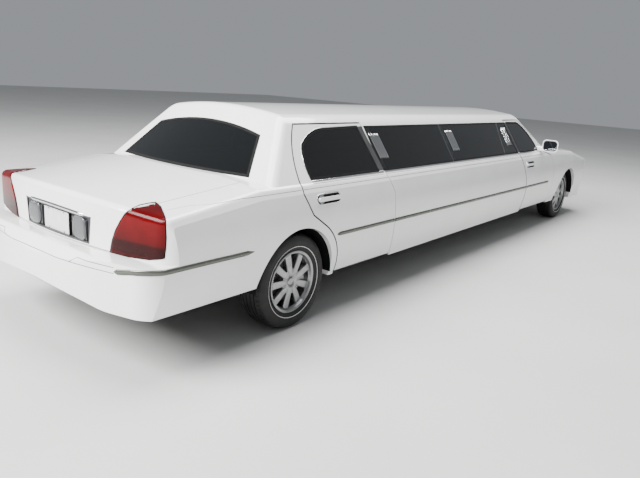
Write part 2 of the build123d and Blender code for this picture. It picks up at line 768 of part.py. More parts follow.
# Grille: a rim around upright bars
with BuildPart() as grille:
    add(lamp_shell.part)
    add(grille_tool, mode=Mode.INTERSECT)
    add(hood_prism(GAP), mode=Mode.SUBTRACT)
    with BuildSketch(Plane.YZ.offset(NOSE_JOINT_X)):
        with Locations((0, sum(GRILLE_Z) / 2)):
            with GridLocations(2 * (GRILLE_Y[0] - GRILLE_RIM) / GRILLE_BARS, 1, GRILLE_BARS, 1):
                Rectangle(GRILLE_SLOT, GRILLE_Z[1] - GRILLE_Z[0] - 2 * GRILLE_RIM)
    extrude(amount=FRONT_X - NOSE_JOINT_X, mode=Mode.SUBTRACT)
parts["grille"] = grille.part

for name, tool in (("windshield", screen_tool), ("rear_window", backlight_tool)):
    with BuildPart() as glass:
        add(glass_shell.part)
        add(tool, mode=Mode.INTERSECT)
    parts[name] = glass.part

with BuildPart() as side_glass:
    add(glass_shell.part)
    add(side_recess.part, mode=Mode.INTERSECT)
    for gap in door_gaps.values():
        add(gap, mode=Mode.SUBTRACT)
parts["side_glass"] = side_glass.part

# Bumpers
with BuildPart() as bumper_plan:
    with BuildSketch(Plane.XY):
        add(
            bowed_plan(
                (REAR_X, REAR_BUMPER_ARC_R, REAR_BUMPER_CORNER_R),
                (FRONT_X, FRONT_BUMPER_ARC_R, FRONT_BUMPER_CORNER_R),
                PLAN_Y,
            )
        )
    extrude(amount=ROOF_Z)
    with BuildSketch(Plane.YZ.offset(REAR_X - 30)):
        add(body_section(DECK_Z, BELT_Z, 0, 100, SHOULDER_R))
    extrude(amount=LENGTH + 60, mode=Mode.INTERSECT)

with BuildPart() as bumper_core:
    with BuildSketch(Plane.XY):
        add(
            bowed_plan(
                (REAR_X + BUMPER_WALL, REAR_BUMPER_ARC_R, REAR_BUMPER_CORNER_R - BUMPER_WALL),
                (FRONT_X - BUMPER_WALL, FRONT_BUMPER_ARC_R, FRONT_BUMPER_CORNER_R - BUMPER_WALL),
                PLAN_Y - BUMPER_WALL,
            )
        )
    extrude(amount=ROOF_Z)
    with BuildSketch(Plane.YZ.offset(REAR_X - 30)):
        add(body_section(DECK_Z, BELT_Z, BUMPER_WALL, 50, SHOULDER_R))
    extrude(amount=LENGTH + 60, mode=Mode.INTERSECT)

with BuildPart() as shelf_core:
    with BuildSketch(Plane.XY):
        add(
            bowed_plan(
                (TAIL_FACE_X + BUMPER_LAP, TAIL_ARC_R, TAIL_CORNER_R),
                (NOSE_FACE_X - BUMPER_LAP, NOSE_ARC_R, NOSE_CORNER_R),
                ROCKER_Y - BUMPER_WALL - 10,
            )
        )
    extrude(amount=ROOF_Z)


def bumper(end_x, inward, rows, axle_x, z):
    """Bumper cover: open underneath and towards the wheels, with a shelf at its top edge."""
    profile = [(end_x + inward * depth, height) for depth, height in rows]
    with BuildPart() as inside:
        add(bumper_core.part)
        add(across((REAR_X, FRONT_X), (0, z[1] - BUMPER_SHELF)), mode=Mode.INTERSECT)
    with BuildPart() as cover:
        with BuildSketch(Plane.XZ) as side_view:
            with BuildLine():
                Polyline((axle_x, z[0]), *profile, (axle_x, z[1]), close=True)
            make_face()
            outermost = side_view.vertices().filter_by(lambda v: abs(v.X - axle_x) > 1)
            fillet(outermost, BUMPER_EDGE_R)
        extrude(amount=PLAN_Y, both=True)
        add(bumper_plan.part, mode=Mode.INTERSECT)
        add(inside.part, mode=Mode.SUBTRACT)
        add(shelf_core.part, mode=Mode.SUBTRACT)
        add(arches.part, mode=Mode.SUBTRACT)
    return cover.part


# Rows: how far in from the end of the car, past it where negative, and height
rear_low, rear_high = REAR_BUMPER_Z
rear_rows = [(65, rear_low), (-2, rear_low + 60), (-2, rear_high - 75), (70, rear_high)]
parts["rear_bumper"] = bumper(REAR_X, 1, rear_rows, REAR_AXLE_X, REAR_BUMPER_Z)
front_low, front_high = FRONT_BUMPER_Z
front_rows = [
    (90, front_low),
    (20, front_low + 70),
    (-2, front_low + 230),
    (-2, front_high - 75),
    (60, front_high),
]
parts["front_bumper"] = bumper(FRONT_X, -1, front_rows, FRONT_AXLE_X, FRONT_BUMPER_Z)


def wheelhouse(axle_x, start_y, closed, bumper_name):
    """Liner over both wheels of an axle, out to the body's wall; a closed one has an inner wall."""
    with BuildPart() as house:
        for side in (1, -1):
            with BuildSketch(Plane.XZ.offset(-side * start_y)):
                with Locations((axle_x, TYRE_R)):
                    Circle(ARCH_R + LINER)
            extrude(amount=-side * (PLAN_Y - start_y))
            with BuildSketch(Plane.XZ.offset(-side * (start_y + (LINER if closed else 0)))):
                with Locations((axle_x, TYRE_R)):
                    Circle(ARCH_R)
            extrude(amount=-side * PLAN_Y, mode=Mode.SUBTRACT)
        add(across((axle_x - 2 * ARCH_R, axle_x + 2 * ARCH_R), (0, ROCKER_Z + 10)), mode=Mode.SUBTRACT)
        add(inner_low, mode=Mode.INTERSECT)
        add(parts[bumper_name], mode=Mode.SUBTRACT)
    return house.part


with BuildPart() as fenders:
    add(parts["front_fenders"])
    add(wheelhouse(FRONT_AXLE_X, FRONT_HOUSE_Y, False, "front_bumper"))
parts["front_fenders"] = fenders.part

# Ladder frame: rails stepped over the rear axle, drawn in towards the nose, and cross members
frame_top_z = FRAME_FOOT_Z + RAIL_HEIGHT
rail_outline = [
    (TAIL_FACE_X, TAIL_RAIL_Z[0]),
    (REAR_AXLE_X - 690, TAIL_RAIL_Z[0]),
    (REAR_AXLE_X - 530, KICK_Z),
    (REAR_AXLE_X + 390, KICK_Z),
    (REAR_AXLE_X + 590, FRAME_FOOT_Z),
    (FRONT_RAIL_X, FRAME_FOOT_Z),
    (FRONT_RAIL_X, frame_top_z),
    (REAR_AXLE_X + 630, frame_top_z),
    (REAR_AXLE_X + 430, KICK_Z + RAIL_HEIGHT),
    (REAR_AXLE_X - 560, KICK_Z + RAIL_HEIGHT),
    (REAR_AXLE_X - 720, TAIL_RAIL_Z[1]),
    (TAIL_FACE_X, TAIL_RAIL_Z[1]),
]
low_cross_z = (FRAME_FOOT_Z, FRAME_FOOT_Z + CROSS_HEIGHT)
rail_outer_y = RAIL_INNER_Y + RAIL_WIDTH
front_rail_y = FRONT_RAIL_INNER_Y + RAIL_WIDTH
nose_post_z = FRONT_BUMPER_Z[0] + 230
tail_cross_x = REAR_AXLE_X - 830
low_cross_x = [REAR_AXLE_X + 720, REAR_AXLE_X + 1970, FRONT_AXLE_X - 2768, FRONT_AXLE_X - 1668]
cross_members = [
    # x, half length, heights, width
    (TAIL_FACE_X + 15, rail_outer_y, TAIL_RAIL_Z, 30),
    (tail_cross_x, rail_outer_y, TAIL_RAIL_Z, 60),
    *[(x, rail_outer_y, low_cross_z, CROSS_WIDTH) for x in low_cross_x],
    (FRONT_RAIL_X - CROSS_WIDTH / 2, rail_outer_y, low_cross_z, CROSS_WIDTH),
    (FRONT_AXLE_X + 482, front_rail_y, (FRAME_FOOT_Z + 10, frame_top_z), 60),
    (NOSE_FACE_X - 125, front_rail_y, (nose_post_z - 120, nose_post_z), 40),
]
with BuildPart() as chassis_frame:
    with BuildSketch(Plane.XZ):
        with BuildLine():
            Polyline(*rail_outline, close=True)
        make_face()
    extrude(amount=rail_outer_y, both=True)
    between_rails = block((REAR_X, FRONT_RAIL_X), (-RAIL_INNER_Y, RAIL_INNER_Y), (0, ROOF_Z))
    add(between_rails, mode=Mode.SUBTRACT)
    torque_box_x = (FRONT_RAIL_X - CROSS_WIDTH, FRONT_RAIL_X)
    front_rail_z = (FRAME_FOOT_Z + 10, frame_top_z)
    for side in (1, -1):
        rail_y = (side * FRONT_RAIL_INNER_Y, side * front_rail_y)
        add(block((torque_box_x[0], NOSE_FACE_X - 105), rail_y, front_rail_z))
        add(block(torque_box_x, (rail_y[0], side * rail_outer_y), (FRAME_FOOT_Z, frame_top_z)))
        add(block((NOSE_FACE_X - 145, NOSE_FACE_X - 105), rail_y, (front_rail_z[0], nose_post_z)))
    for x, half, (low, high), width in cross_members:
        add(block((x - width / 2, x + width / 2), (-half, half), (low, high)))
parts["chassis_frame"] = chassis_frame.part

# Floor on the frame: a flat floor between two inner sills, a toe board with the firewall, a rear floor
# that steps up over the axle and holds the liners of the wheels, and a panel behind the trunk floor
floor_mid_z = frame_top_z + FLOOR_SKIN / 2
kick_floor_z = KICK_Z + RAIL_HEIGHT + FLOOR_SKIN / 2
trunk_floor_z = TAIL_RAIL_Z[1] + FLOOR_SKIN / 2
toe_z = floor_mid_z + 340
tail_panel_x = (TAIL_FACE_X + 26, TAIL_FACE_X + 26 + PANEL_SKIN)
floor_line = [
    (FIREWALL_X, toe_z),
    (FIREWALL_X - 200, floor_mid_z),
    (REAR_AXLE_X + 690, floor_mid_z),
    (REAR_AXLE_X + 470, kick_floor_z),
    (REAR_AXLE_X - 590, kick_floor_z),
    (REAR_AXLE_X - 745, trunk_floor_z),
    (tail_panel_x[1] - PANEL_SKIN / 2, trunk_floor_z),
]
flat_floor_x = (REAR_AXLE_X + 700, FIREWALL_X - 260)
floor_half = ROCKER_Y - SIDE_WALL
sill_outer_y = floor_half - 10
sill_inner_y = sill_outer_y - INNER_SILL[0]
sill_top_z = floor_mid_z + INNER_SILL[1]
with BuildPart() as floor_pan:
    with BuildSketch(Plane.XZ):
        with BuildLine():
            Polyline(*floor_line)
        trace(line_width=FLOOR_SKIN)
    extrude(amount=floor_half, both=True)
    firewall_x = (FIREWALL_X - PANEL_SKIN / 2, FIREWALL_X + PANEL_SKIN / 2)
    add(block(firewall_x, (-FIREWALL_Y, FIREWALL_Y), (ROCKER_Z + 5, DECK_Z)))
    tunnel_y = (-front_rail_y - 10, front_rail_y + 10)
    add(block((FIREWALL_X - 60, FIREWALL_X + 60), tunnel_y, (0, frame_top_z + 25)), mode=Mode.SUBTRACT)
    house_x = (REAR_AXLE_X - ARCH_R, REAR_AXLE_X + ARCH_R)
    for side in (1, -1):
        add(block(flat_floor_x, (side * sill_inner_y, side * sill_outer_y), (floor_mid_z, sill_top_z)))
        house_y = (side * REAR_HOUSE_Y, side * PLAN_Y)
        add(block(house_x, house_y, (0, kick_floor_z + 50)), mode=Mode.SUBTRACT)
    add(Pos(0, 0, -HOOD_SEAT) * inner_low, mode=Mode.INTERSECT)
    add(wheelhouse(REAR_AXLE_X, REAR_HOUSE_Y, True, "rear_bumper"))
    notch_x = (REAR_AXLE_X - TUBE_R - AXLE_TRAVEL / 2, REAR_AXLE_X + TUBE_R + AXLE_TRAVEL / 2)
    for side in (1, -1):
        notch_y = (side * (REAR_HOUSE_Y - 1), side * (REAR_HOUSE_Y + LINER + 1))
        add(block(notch_x, notch_y, (0, TYRE_R + TUBE_R + AXLE_TRAVEL)), mode=Mode.SUBTRACT)
    tail_panel_z = (trunk_floor_z, REAR_BUMPER_Z[1] - BUMPER_SHELF)
    add(block(tail_panel_x, (-540, 540), tail_panel_z))
    for seam_x in ((flat_floor_x[0] - SEAM, flat_floor_x[0]), (flat_floor_x[1], flat_floor_x[1] + SEAM)):
        add(block(seam_x, (-floor_half, floor_half), (0, sill_top_z)), mode=Mode.SUBTRACT)
    for side in (1, -1):
        seam_y = (side * (sill_inner_y - SEAM), side * sill_inner_y)
        add(block(flat_floor_x, seam_y, (0, sill_top_z)), mode=Mode.SUBTRACT)
parts["floor_pan"] = floor_pan.part

with BuildPart() as engine_block:
    add(block(ENGINE_X, (-ENGINE_Y, ENGINE_Y), (frame_top_z + 30, ENGINE_TOP_Z)))
    fillet(engine_block.edges().filter_by(Axis.X), 40)
parts["engine_block"] = engine_block.part

# Driveline: rear axle tube with spring seats, differential, and a propeller shaft in two straight lengths
shaft_joint_x = REAR_AXLE_X + 630
spindle_reach = WHEEL_DISC[1] - 6
with BuildPart() as driveline:
    with BuildSketch(Plane.XZ):
        with Locations((REAR_AXLE_X, TYRE_R)):
            Circle(TUBE_R)
    extrude(amount=REAR_TRACK / 2 - 120, both=True)
    with BuildSketch(Plane.XZ):
        with Locations((REAR_AXLE_X, TYRE_R)):
            Circle(SPINDLE_R)
    extrude(amount=REAR_TRACK / 2 + spindle_reach, both=True)
    with BuildSketch(Plane((REAR_AXLE_X, 0, TYRE_R), x_dir=(0, 1, 0), z_dir=(1, 0, 0))):
        with BuildLine():
            ThreePointArc((0, DIFF_R), (DIFF_R, 0), (0, -DIFF_R))
            Line((0, -DIFF_R), (0, DIFF_R))
        make_face()
    revolve(axis=Axis((REAR_AXLE_X, 0, TYRE_R), (0, 0, 1)))
    for side in (1, -1):
        seat_y = (side * (RAIL_INNER_Y + 5), side * (rail_outer_y - 5))
        add(block((REAR_AXLE_X - 40, REAR_AXLE_X + 40), seat_y, (TYRE_R, KICK_Z)))
    nose = Vector(shaft_joint_x - REAR_AXLE_X, 0, SHAFT_Z - TYRE_R)
    with BuildSketch(Plane((REAR_AXLE_X, 0, TYRE_R), z_dir=nose)):
        Circle(SHAFT_R)
    extrude(amount=nose.length)
    with Locations((shaft_joint_x, 0, SHAFT_Z)):
        Sphere(SHAFT_R + 8)
    with BuildSketch(Plane.YZ.offset(shaft_joint_x)):
        with Locations((0, SHAFT_Z)):
            Circle(SHAFT_R)
    extrude(amount=FRONT_AXLE_X - 868 - shaft_joint_x)
parts["driveline"] = driveline.part

# Exhaust: two pipes from the engine over the axle to the tail, each in three lengths with flanges,
# with a muffler on the middle one
muffler_x = REAR_AXLE_X + 1670
flange_x = (REAR_AXLE_X + 790, ENGINE_X[0] - 350)
with BuildPart() as exhaust:
    for side in (1, -1):
        with BuildLine() as route:
            FilletPolyline(
                (ENGINE_X[0], side * PIPE_Y, PIPE_Z + 130),
                (ENGINE_X[0] - 70, side * PIPE_Y, PIPE_Z + 130),
                (ENGINE_X[0] - 200, side * PIPE_Y, PIPE_Z),
                (REAR_AXLE_X + 630, side * PIPE_Y, PIPE_Z),
                (REAR_AXLE_X + 350, side * PIPE_Y, KICK_Z + 40),
                (REAR_AXLE_X - 380, side * PIPE_Y, KICK_Z + 40),
                (REAR_AXLE_X - 690, side * PIPE_Y, PIPE_Z + 30),
                (TAIL_FACE_X + 150, side * PIPE_Y, PIPE_Z + 30),
                radius=PIPE_BEND_R,
            )
        with BuildSketch(Plane(route.line @ 0, z_dir=route.line % 0)):
            Circle(PIPE_R)
        sweep()
        with Locations((muffler_x, side * PIPE_Y, PIPE_Z - 14)):
            Box(*MUFFLER)
        hanger_y = (side * (PIPE_Y - 15), side * (PIPE_Y + 15))
        for x in low_cross_x[1:]:
            add(block((x - 20, x + 20), hanger_y, (low_cross_z[1], PIPE_Z)))
        add(block((tail_cross_x - 20, tail_cross_x + 20), hanger_y, (PIPE_Z + 30, TAIL_RAIL_Z[0])))
        for x in flange_x:
            with Locations((x, side * PIPE_Y, PIPE_Z)):
                Cylinder(FLANGE_R, FLANGE_PAIR, rotation=(0, 90, 0))
                Box(SEAM, 2 * FLANGE_R, 2 * FLANGE_R, mode=Mode.SUBTRACT)
parts["exhaust"] = exhaust.part

# Front suspension: cross member, towers and two arms each side with eyes on the steering axis
lower_arm_z = UPRIGHT_Z[0] - ARM_GAP - ARM_THICK
upper_arm_z = UPRIGHT_Z[1] + ARM_GAP
with BuildPart() as front_suspension:
    bridge_x = (FRONT_AXLE_X - 60, FRONT_AXLE_X + 60)
    add(block(bridge_x, (-FRONT_RAIL_INNER_Y, FRONT_RAIL_INNER_Y), (FRAME_FOOT_Z + 20, frame_top_z + 30)))
    for side in (1, -1):
        for low in (lower_arm_z, upper_arm_z):
            with BuildSketch(Plane.XY.offset(low)):
                with BuildLine():
                    Polyline(
                        (FRONT_AXLE_X - 130, side * front_rail_y),
                        (FRONT_AXLE_X + 130, side * front_rail_y),
                        (FRONT_AXLE_X + 24, side * KING_PIN_Y),
                        (FRONT_AXLE_X - 24, side * KING_PIN_Y),
                        close=True,
                    )
                make_face()
                with Locations((FRONT_AXLE_X, side * KING_PIN_Y)):
                    Circle(EYE_R)
                    Circle(PIN_R + BEARING_GAP, mode=Mode.SUBTRACT)
            extrude(amount=ARM_THICK)
        tower_y = (side * FRONT_RAIL_INNER_Y, side * (front_rail_y + 2))
        add(block((FRONT_AXLE_X - 130, FRONT_AXLE_X + 130), tower_y, (frame_top_z, upper_arm_z + 70)))
parts["front_suspension"] = front_suspension.part

for side_name, side in SIDES:
    with BuildPart() as knuckle:
        upright_y = (side * (KING_PIN_Y - 26), side * (KING_PIN_Y + 26))
        add(block((FRONT_AXLE_X - 42, FRONT_AXLE_X + 42), upright_y, UPRIGHT_Z))
        with BuildSketch(Plane.XZ.offset(-side * KING_PIN_Y)):
            with Locations((FRONT_AXLE_X, TYRE_R)):
                Circle(SPINDLE_R)
        extrude(amount=-side * (FRONT_TRACK / 2 - KING_PIN_Y + spindle_reach))
        with BuildSketch(Plane.XY.offset(lower_arm_z - 3)):
            with Locations((FRONT_AXLE_X, side * KING_PIN_Y)):
                Circle(PIN_R)
        extrude(amount=upper_arm_z - lower_arm_z + ARM_THICK + 6)
    parts[f"knuckle_{side_name}"] = knuckle.part


# Wheels
def wheel_rim(axle_x, centre_y, side):
    """Rim with its hub bore, a disc near the outer face and slots between the spokes."""
    half = RIM_WIDTH / 2
    low, high = WHEEL_DISC
    inside_r = BARREL_R - BARREL_WALL
    slot_side = degrees(atan2(SLOT_R[1] - SLOT_R[0], (SLOT_WIDTH[1] - SLOT_WIDTH[0]) / 2))
    bore_r = SPINDLE_R + BEARING_GAP
    with BuildPart() as rim:
        with BuildSketch(Plane((axle_x, centre_y, TYRE_R), x_dir=(0, side, 0), z_dir=(side, 0, 0))):
            with BuildLine():
                Polyline(
                    (-half, RIM_LIP_R),
                    (-half, inside_r),
                    (high - 26, inside_r),
                    (high - 26, HUB_R),
                    (low, HUB_R),
                    (low, bore_r),
                    (high, bore_r),
                    (high, inside_r),
                    (half, BARREL_R - 4),
                    (half, RIM_LIP_R),
                    (half - RIM_LIP, RIM_LIP_R),
                    (half - RIM_LIP, BARREL_R),
                    (RIM_LIP - half, BARREL_R),
                    (RIM_LIP - half, RIM_LIP_R),
                    close=True,
                )
            make_face()
        revolve(axis=Axis((axle_x, centre_y, TYRE_R), (0, side, 0)))
        slot_y = centre_y + side * (low + 4)
        with BuildSketch(Plane((axle_x, slot_y, TYRE_R), x_dir=(1, 0, 0), z_dir=(0, side, 0))):
            with PolarLocations(sum(SLOT_R) / 2, SPOKES):
                Trapezoid(SLOT_WIDTH[1], SLOT_R[1] - SLOT_R[0], slot_side, rotation=90)
        extrude(amount=RIM_WIDTH, mode=Mode.SUBTRACT)
    return rim.part


def wheel_tyre(axle_x, centre_y):
    """Tyre seated on the rim's barrel between its lips."""
    half = TYRE_WIDTH / 2
    bead = RIM_WIDTH / 2 - RIM_LIP
    wall = [
        # out from the middle plane, radius
        (bead, BARREL_R),
        (bead, RIM_LIP_R + 3),
        (half - 3, RIM_LIP_R + 32),
        (half, TYRE_R - 60),
        (half - 10, TYRE_R - 24),
        (half - 38, TYRE_R),
    ]
    with BuildPart() as tyre:
        with BuildSketch(Plane((axle_x, centre_y, TYRE_R), x_dir=(0, 1, 0), z_dir=(1, 0, 0))):
            with BuildLine():
                Polyline(*wall, *[(-out, r) for out, r in reversed(wall)], close=True)
            make_face()
        revolve(axis=Axis((axle_x, centre_y, TYRE_R), (0, 1, 0)))
    return tyre.part


for end, axle_x, track in (("rear", REAR_AXLE_X, REAR_TRACK), ("front", FRONT_AXLE_X, FRONT_TRACK)):
    for side_name, side in SIDES:
        parts[f"rim_{end}_{side_name}"] = wheel_rim(axle_x, side * track / 2, side)
        parts[f"tyre_{end}_{side_name}"] = wheel_tyre(axle_x, side * track / 2)

# Cabin
floor_top_z = floor_mid_z + FLOOR_SKIN / 2
kick_top_z = kick_floor_z + FLOOR_SKIN / 2


def profile_solid(points, y, round_r):
    """Solid between two y values from an outline of x and z corners, its corners rounded."""
    with BuildPart() as solid:
        with BuildSketch(Plane.XZ.offset(-y[1])) as outline:
            with BuildLine():
                Polyline(*points, close=True)
            make_face()
            fillet(outline.vertices(), round_r)
        extrude(amount=y[1] - y[0])
    return solid.part


with BuildPart() as front_seats:
    seat_x = FRONT_AXLE_X - 1838
    for seat_y in ((160, 690), (-690, -160)):
        add(
            profile_solid(
                [
                    (seat_x, floor_top_z),
                    (seat_x + 530, floor_top_z),
                    (seat_x + 530, floor_top_z + 245),
                    (seat_x + 140, floor_top_z + 210),
                    (seat_x, floor_top_z + 805),
                    (seat_x - 130, floor_top_z + 805),
                ],
                seat_y,
                25,
            )
        )
parts["front_seats"] = front_seats.part

with BuildPart() as lounge_seats:
    add(
        profile_solid(
            [
                (REAR_AXLE_X + 30, kick_top_z),
                (REAR_AXLE_X + 500, kick_top_z),
                (REAR_AXLE_X + 710, floor_top_z),
                (REAR_AXLE_X + 830, floor_top_z),
                (REAR_AXLE_X + 830, kick_top_z + 120),
                (REAR_AXLE_X + 170, kick_top_z + 120),
                (REAR_AXLE_X + 90, SILL_Z - 55),
                (REAR_AXLE_X - 10, SILL_Z - 55),
            ],
            (-590, 590),
            12,
        )
    )
    bench_x = (REAR_AXLE_X + 1070, MID_PILLAR_X + 1140)
    add(block(bench_x, (330, 735), (floor_top_z, floor_top_z + 310)))
    add(block(bench_x, (620, 735), (floor_top_z, floor_top_z + 630)))
parts["lounge_seats"] = lounge_seats.part

with BuildPart() as bar_cabinet:
    add(block((REAR_AXLE_X + 1670, MID_PILLAR_X + 1140), (-735, -430), (floor_top_z, floor_top_z + 600)))
parts["bar_cabinet"] = bar_cabinet.part

# Dashboard with the steering wheel on its column
dash_x = FIREWALL_X - PANEL_SKIN / 2
with BuildPart() as dashboard:
    add(
        profile_solid(
            [
                (dash_x - 262, SILL_Z - 405),
                (dash_x - 322, SILL_Z - 185),
                (dash_x - 262, SILL_Z - 60),
                (dash_x - 102, SILL_Z - 45),
                (dash_x, SILL_Z - 60),
                (dash_x, SILL_Z - 385),
            ],
            (-740, 740),
            18,
        )
    )
    ring_plane = Plane((dash_x - 482, 400, SILL_Z - 140), x_dir=(0, 1, 0), z_dir=(-1, 0, 0.36))
    with BuildSketch(Plane(ring_plane.origin, x_dir=(0, 1, 0), z_dir=ring_plane.y_dir)):
        with Locations((STEERING_WHEEL_R, 0)):
            RegularPolygon(STEERING_RING_R, 8)
    revolve(axis=Axis(ring_plane.origin, ring_plane.z_dir))
    with Locations(ring_plane):
        Box(2 * STEERING_WHEEL_R, 30, 16)
        Box(30, 2 * STEERING_WHEEL_R, 16)
        Cylinder(60, 26)
    with BuildSketch(ring_plane):
        Circle(26)
    extrude(amount=-225)
parts["dashboard"] = dashboard.part

for name, part in parts.items():
    part.label = name
    export_step(part, f"parts/{name}.step")
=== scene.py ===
import json
from math import asin, cos, pi, radians, sin

import bmesh
import bpy
from mathutils import Matrix, Vector
from mathutils.bvhtree import BVHTree


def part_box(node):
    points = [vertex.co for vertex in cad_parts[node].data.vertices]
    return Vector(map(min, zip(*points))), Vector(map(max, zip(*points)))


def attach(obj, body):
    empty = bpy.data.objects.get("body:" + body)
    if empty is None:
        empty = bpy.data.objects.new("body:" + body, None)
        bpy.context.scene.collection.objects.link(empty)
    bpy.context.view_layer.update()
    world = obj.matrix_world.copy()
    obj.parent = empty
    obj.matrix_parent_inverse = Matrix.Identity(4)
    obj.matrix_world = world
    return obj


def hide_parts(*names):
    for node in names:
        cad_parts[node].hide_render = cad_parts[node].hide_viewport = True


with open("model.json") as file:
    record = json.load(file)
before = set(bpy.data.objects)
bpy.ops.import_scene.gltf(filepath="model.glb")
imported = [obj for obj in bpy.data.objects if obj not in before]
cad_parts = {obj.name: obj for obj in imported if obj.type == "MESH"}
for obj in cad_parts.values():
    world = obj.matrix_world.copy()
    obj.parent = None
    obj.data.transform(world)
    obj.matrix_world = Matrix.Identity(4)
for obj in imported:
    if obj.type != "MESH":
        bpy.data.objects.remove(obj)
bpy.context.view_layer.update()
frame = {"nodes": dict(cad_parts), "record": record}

# Camera at the photograph's viewpoint, in the car's frame: metres, radians and pixels of a 640 wide frame
CAMERA_AT = Vector((-5.9587, -3.5209, 1.7392))
CAMERA_YAW = 0.655955
CAMERA_PITCH = -0.257544
CAMERA_ROLL = 0.0691538
FOCAL_PX = 598.76
FRAME_WIDTH_PX = 640
SENSOR_MM = 36.0
CLIP_END = 200.0

COLLECTION = bpy.context.scene.collection
SIDES = (("left", 1), ("right", -1))
ENDS = ("rear", "front")
BODY_OF = {
    node: body for body, nodes in frame["record"]["behaviour"]["bodies"].items() for node in nodes
}

# Materials
NOISE_ROUGHNESS = 0.55


def material(name, color, roughness, **sockets):
    """New material with a Principled shader; values are set directly on its sockets."""
    made = bpy.data.materials.new(name)
    made.use_nodes = True
    shader = made.node_tree.nodes["Principled BSDF"]
    shader.name = "shader"
    shader.inputs["Base Color"].default_value = (*color, 1.0)
    shader.inputs["Roughness"].default_value = roughness
    for key, value in sockets.items():
        shader.inputs[key.replace("_", " ")].default_value = value
    return made


def place(made, stretch=(1, 1, 1)):
    """Object coordinates, stretched per axis."""
    tree = made.node_tree
    coordinates = tree.nodes.new("ShaderNodeTexCoord")
    mapping = tree.nodes.new("ShaderNodeMapping")
    mapping.inputs["Scale"].default_value = stretch
    tree.links.new(coordinates.outputs["Object"], mapping.inputs["Vector"])
    return mapping.outputs["Vector"]


def noise(made, scale, detail=4.0, stretch=(1, 1, 1)):
    """Noise over object coordinates; returns its value socket."""
    texture = made.node_tree.nodes.new("ShaderNodeTexNoise")
    texture.inputs["Scale"].default_value = scale
    texture.inputs["Detail"].default_value = detail
    texture.inputs["Roughness"].default_value = NOISE_ROUGHNESS
    made.node_tree.links.new(place(made, stretch), texture.inputs["Vector"])
    return texture.outputs["Fac"]


def waves(made, scale, axis):
    """Parallel bands along an axis of the object; returns their value socket."""
    texture = made.node_tree.nodes.new("ShaderNodeTexWave")
    texture.bands_direction = axis
    texture.inputs["Scale"].default_value = scale
    made.node_tree.links.new(place(made), texture.inputs["Vector"])
    return texture.outputs["Fac"]


def height(made, low, high):
    """Share of the way up from low to high, from the object's own Z."""
    tree = made.node_tree
    split = tree.nodes.new("ShaderNodeSeparateXYZ")
    share = tree.nodes.new("ShaderNodeMapRange")
    share.inputs["From Min"].default_value = low
    share.inputs["From Max"].default_value = high
    tree.links.new(place(made), split.inputs["Vector"])
    tree.links.new(split.outputs["Z"], share.inputs["Value"])
    return share.outputs["Result"]


def ramp(made, value, stops):
    """Colour ramp over a value; stops hold position and colour or grey level."""
    node = made.node_tree.nodes.new("ShaderNodeValToRGB")
    made.node_tree.links.new(value, node.inputs["Fac"])
    while len(node.color_ramp.elements) < len(stops):
        node.color_ramp.elements.new(0.5)
    for element, (position, color) in zip(node.color_ramp.elements, stops):
        element.position = position
        element.color = (*color, 1.0) if len(color) == 3 else (*color * 3, 1.0)
    return node.outputs["Color"]


def multiplied(made, first, second):
    """Product of two colour sockets."""
    node = made.node_tree.nodes.new("ShaderNodeMix")
    node.data_type = "RGBA"
    node.blend_type = "MULTIPLY"
    node.inputs["Factor"].default_value = 1.0
    made.node_tree.links.new(first, node.inputs[6])
    made.node_tree.links.new(second, node.inputs[7])
    return node.outputs[2]


def drive(made, name, value):
    """Link a socket to an input of the material's shader."""
    made.node_tree.links.new(value, made.node_tree.nodes["shader"].inputs[name])


def bump(made, value, strength, distance):
    """Bump from a value, on the material's shader."""
    node = made.node_tree.nodes.new("ShaderNodeBump")
    node.inputs["Strength"].default_value = strength
    node.inputs["Distance"].default_value = distance
    made.node_tree.links.new(value, node.inputs["Height"])
    drive(made, "Normal", node.outputs["Normal"])


def mottled(made, scale, dark, light, high=0.75, **texture):
    """Base colour that wanders between two colours."""
    drive(made, "Base Color", ramp(made, noise(made, scale, **texture), [(0.3, dark), (high, light)]))


def uneven(made, scale, smooth, rough, low=0.3, **texture):
    """Roughness that wanders between two values."""
    stops = [(low, (smooth,)), (0.8, (rough,))]
    drive(made, "Roughness", ramp(made, noise(made, scale, **texture), stops))


def grained(made, scale, strength, distance, **texture):
    """Fine bumps all over."""
    bump(made, noise(made, scale, **texture), strength, distance)


def white_paint():
    made = material("white_paint", (0.9, 0.9, 0.89), 0.2, Coat_Weight=1.0, Coat_Roughness=0.03)
    mottled(made, 3.0, (0.885, 0.885, 0.87), (0.93, 0.93, 0.92), high=0.7)
    grained(made, 900.0, 0.02, 0.0004, detail=2.0)
    return made


def dark_glass():
    made = material("dark_glass", (0.022, 0.025, 0.027), 0.02, Transmission_Weight=0.85, IOR=1.5)
    uneven(made, 5.0, 0.01, 0.05, low=0.35)
    return made


def screen_glass():
    made = material("screen_glass", (0.42, 0.47, 0.46), 0.02, Transmission_Weight=1.0, IOR=1.5)
    uneven(made, 5.0, 0.01, 0.04, low=0.35)
    return made


def mirror_glass():
    made = material("mirror_glass", (0.35, 0.38, 0.42), 0.03, Metallic=1.0)
    uneven(made, 12.0, 0.02, 0.06)
    return made


def chrome():
    made = material("chrome", (0.8, 0.8, 0.81), 0.08, Metallic=1.0)
    uneven(made, 40.0, 0.05, 0.16)
    return made


# Chrome with a dark base colour: a painted reflection of dark surroundings
def chrome_painted_dark_reflection():
    made = material("chrome_painted_dark_reflection", (0.1, 0.105, 0.09), 0.25, Metallic=0.5)
    uneven(made, 30.0, 0.18, 0.32)
    return made


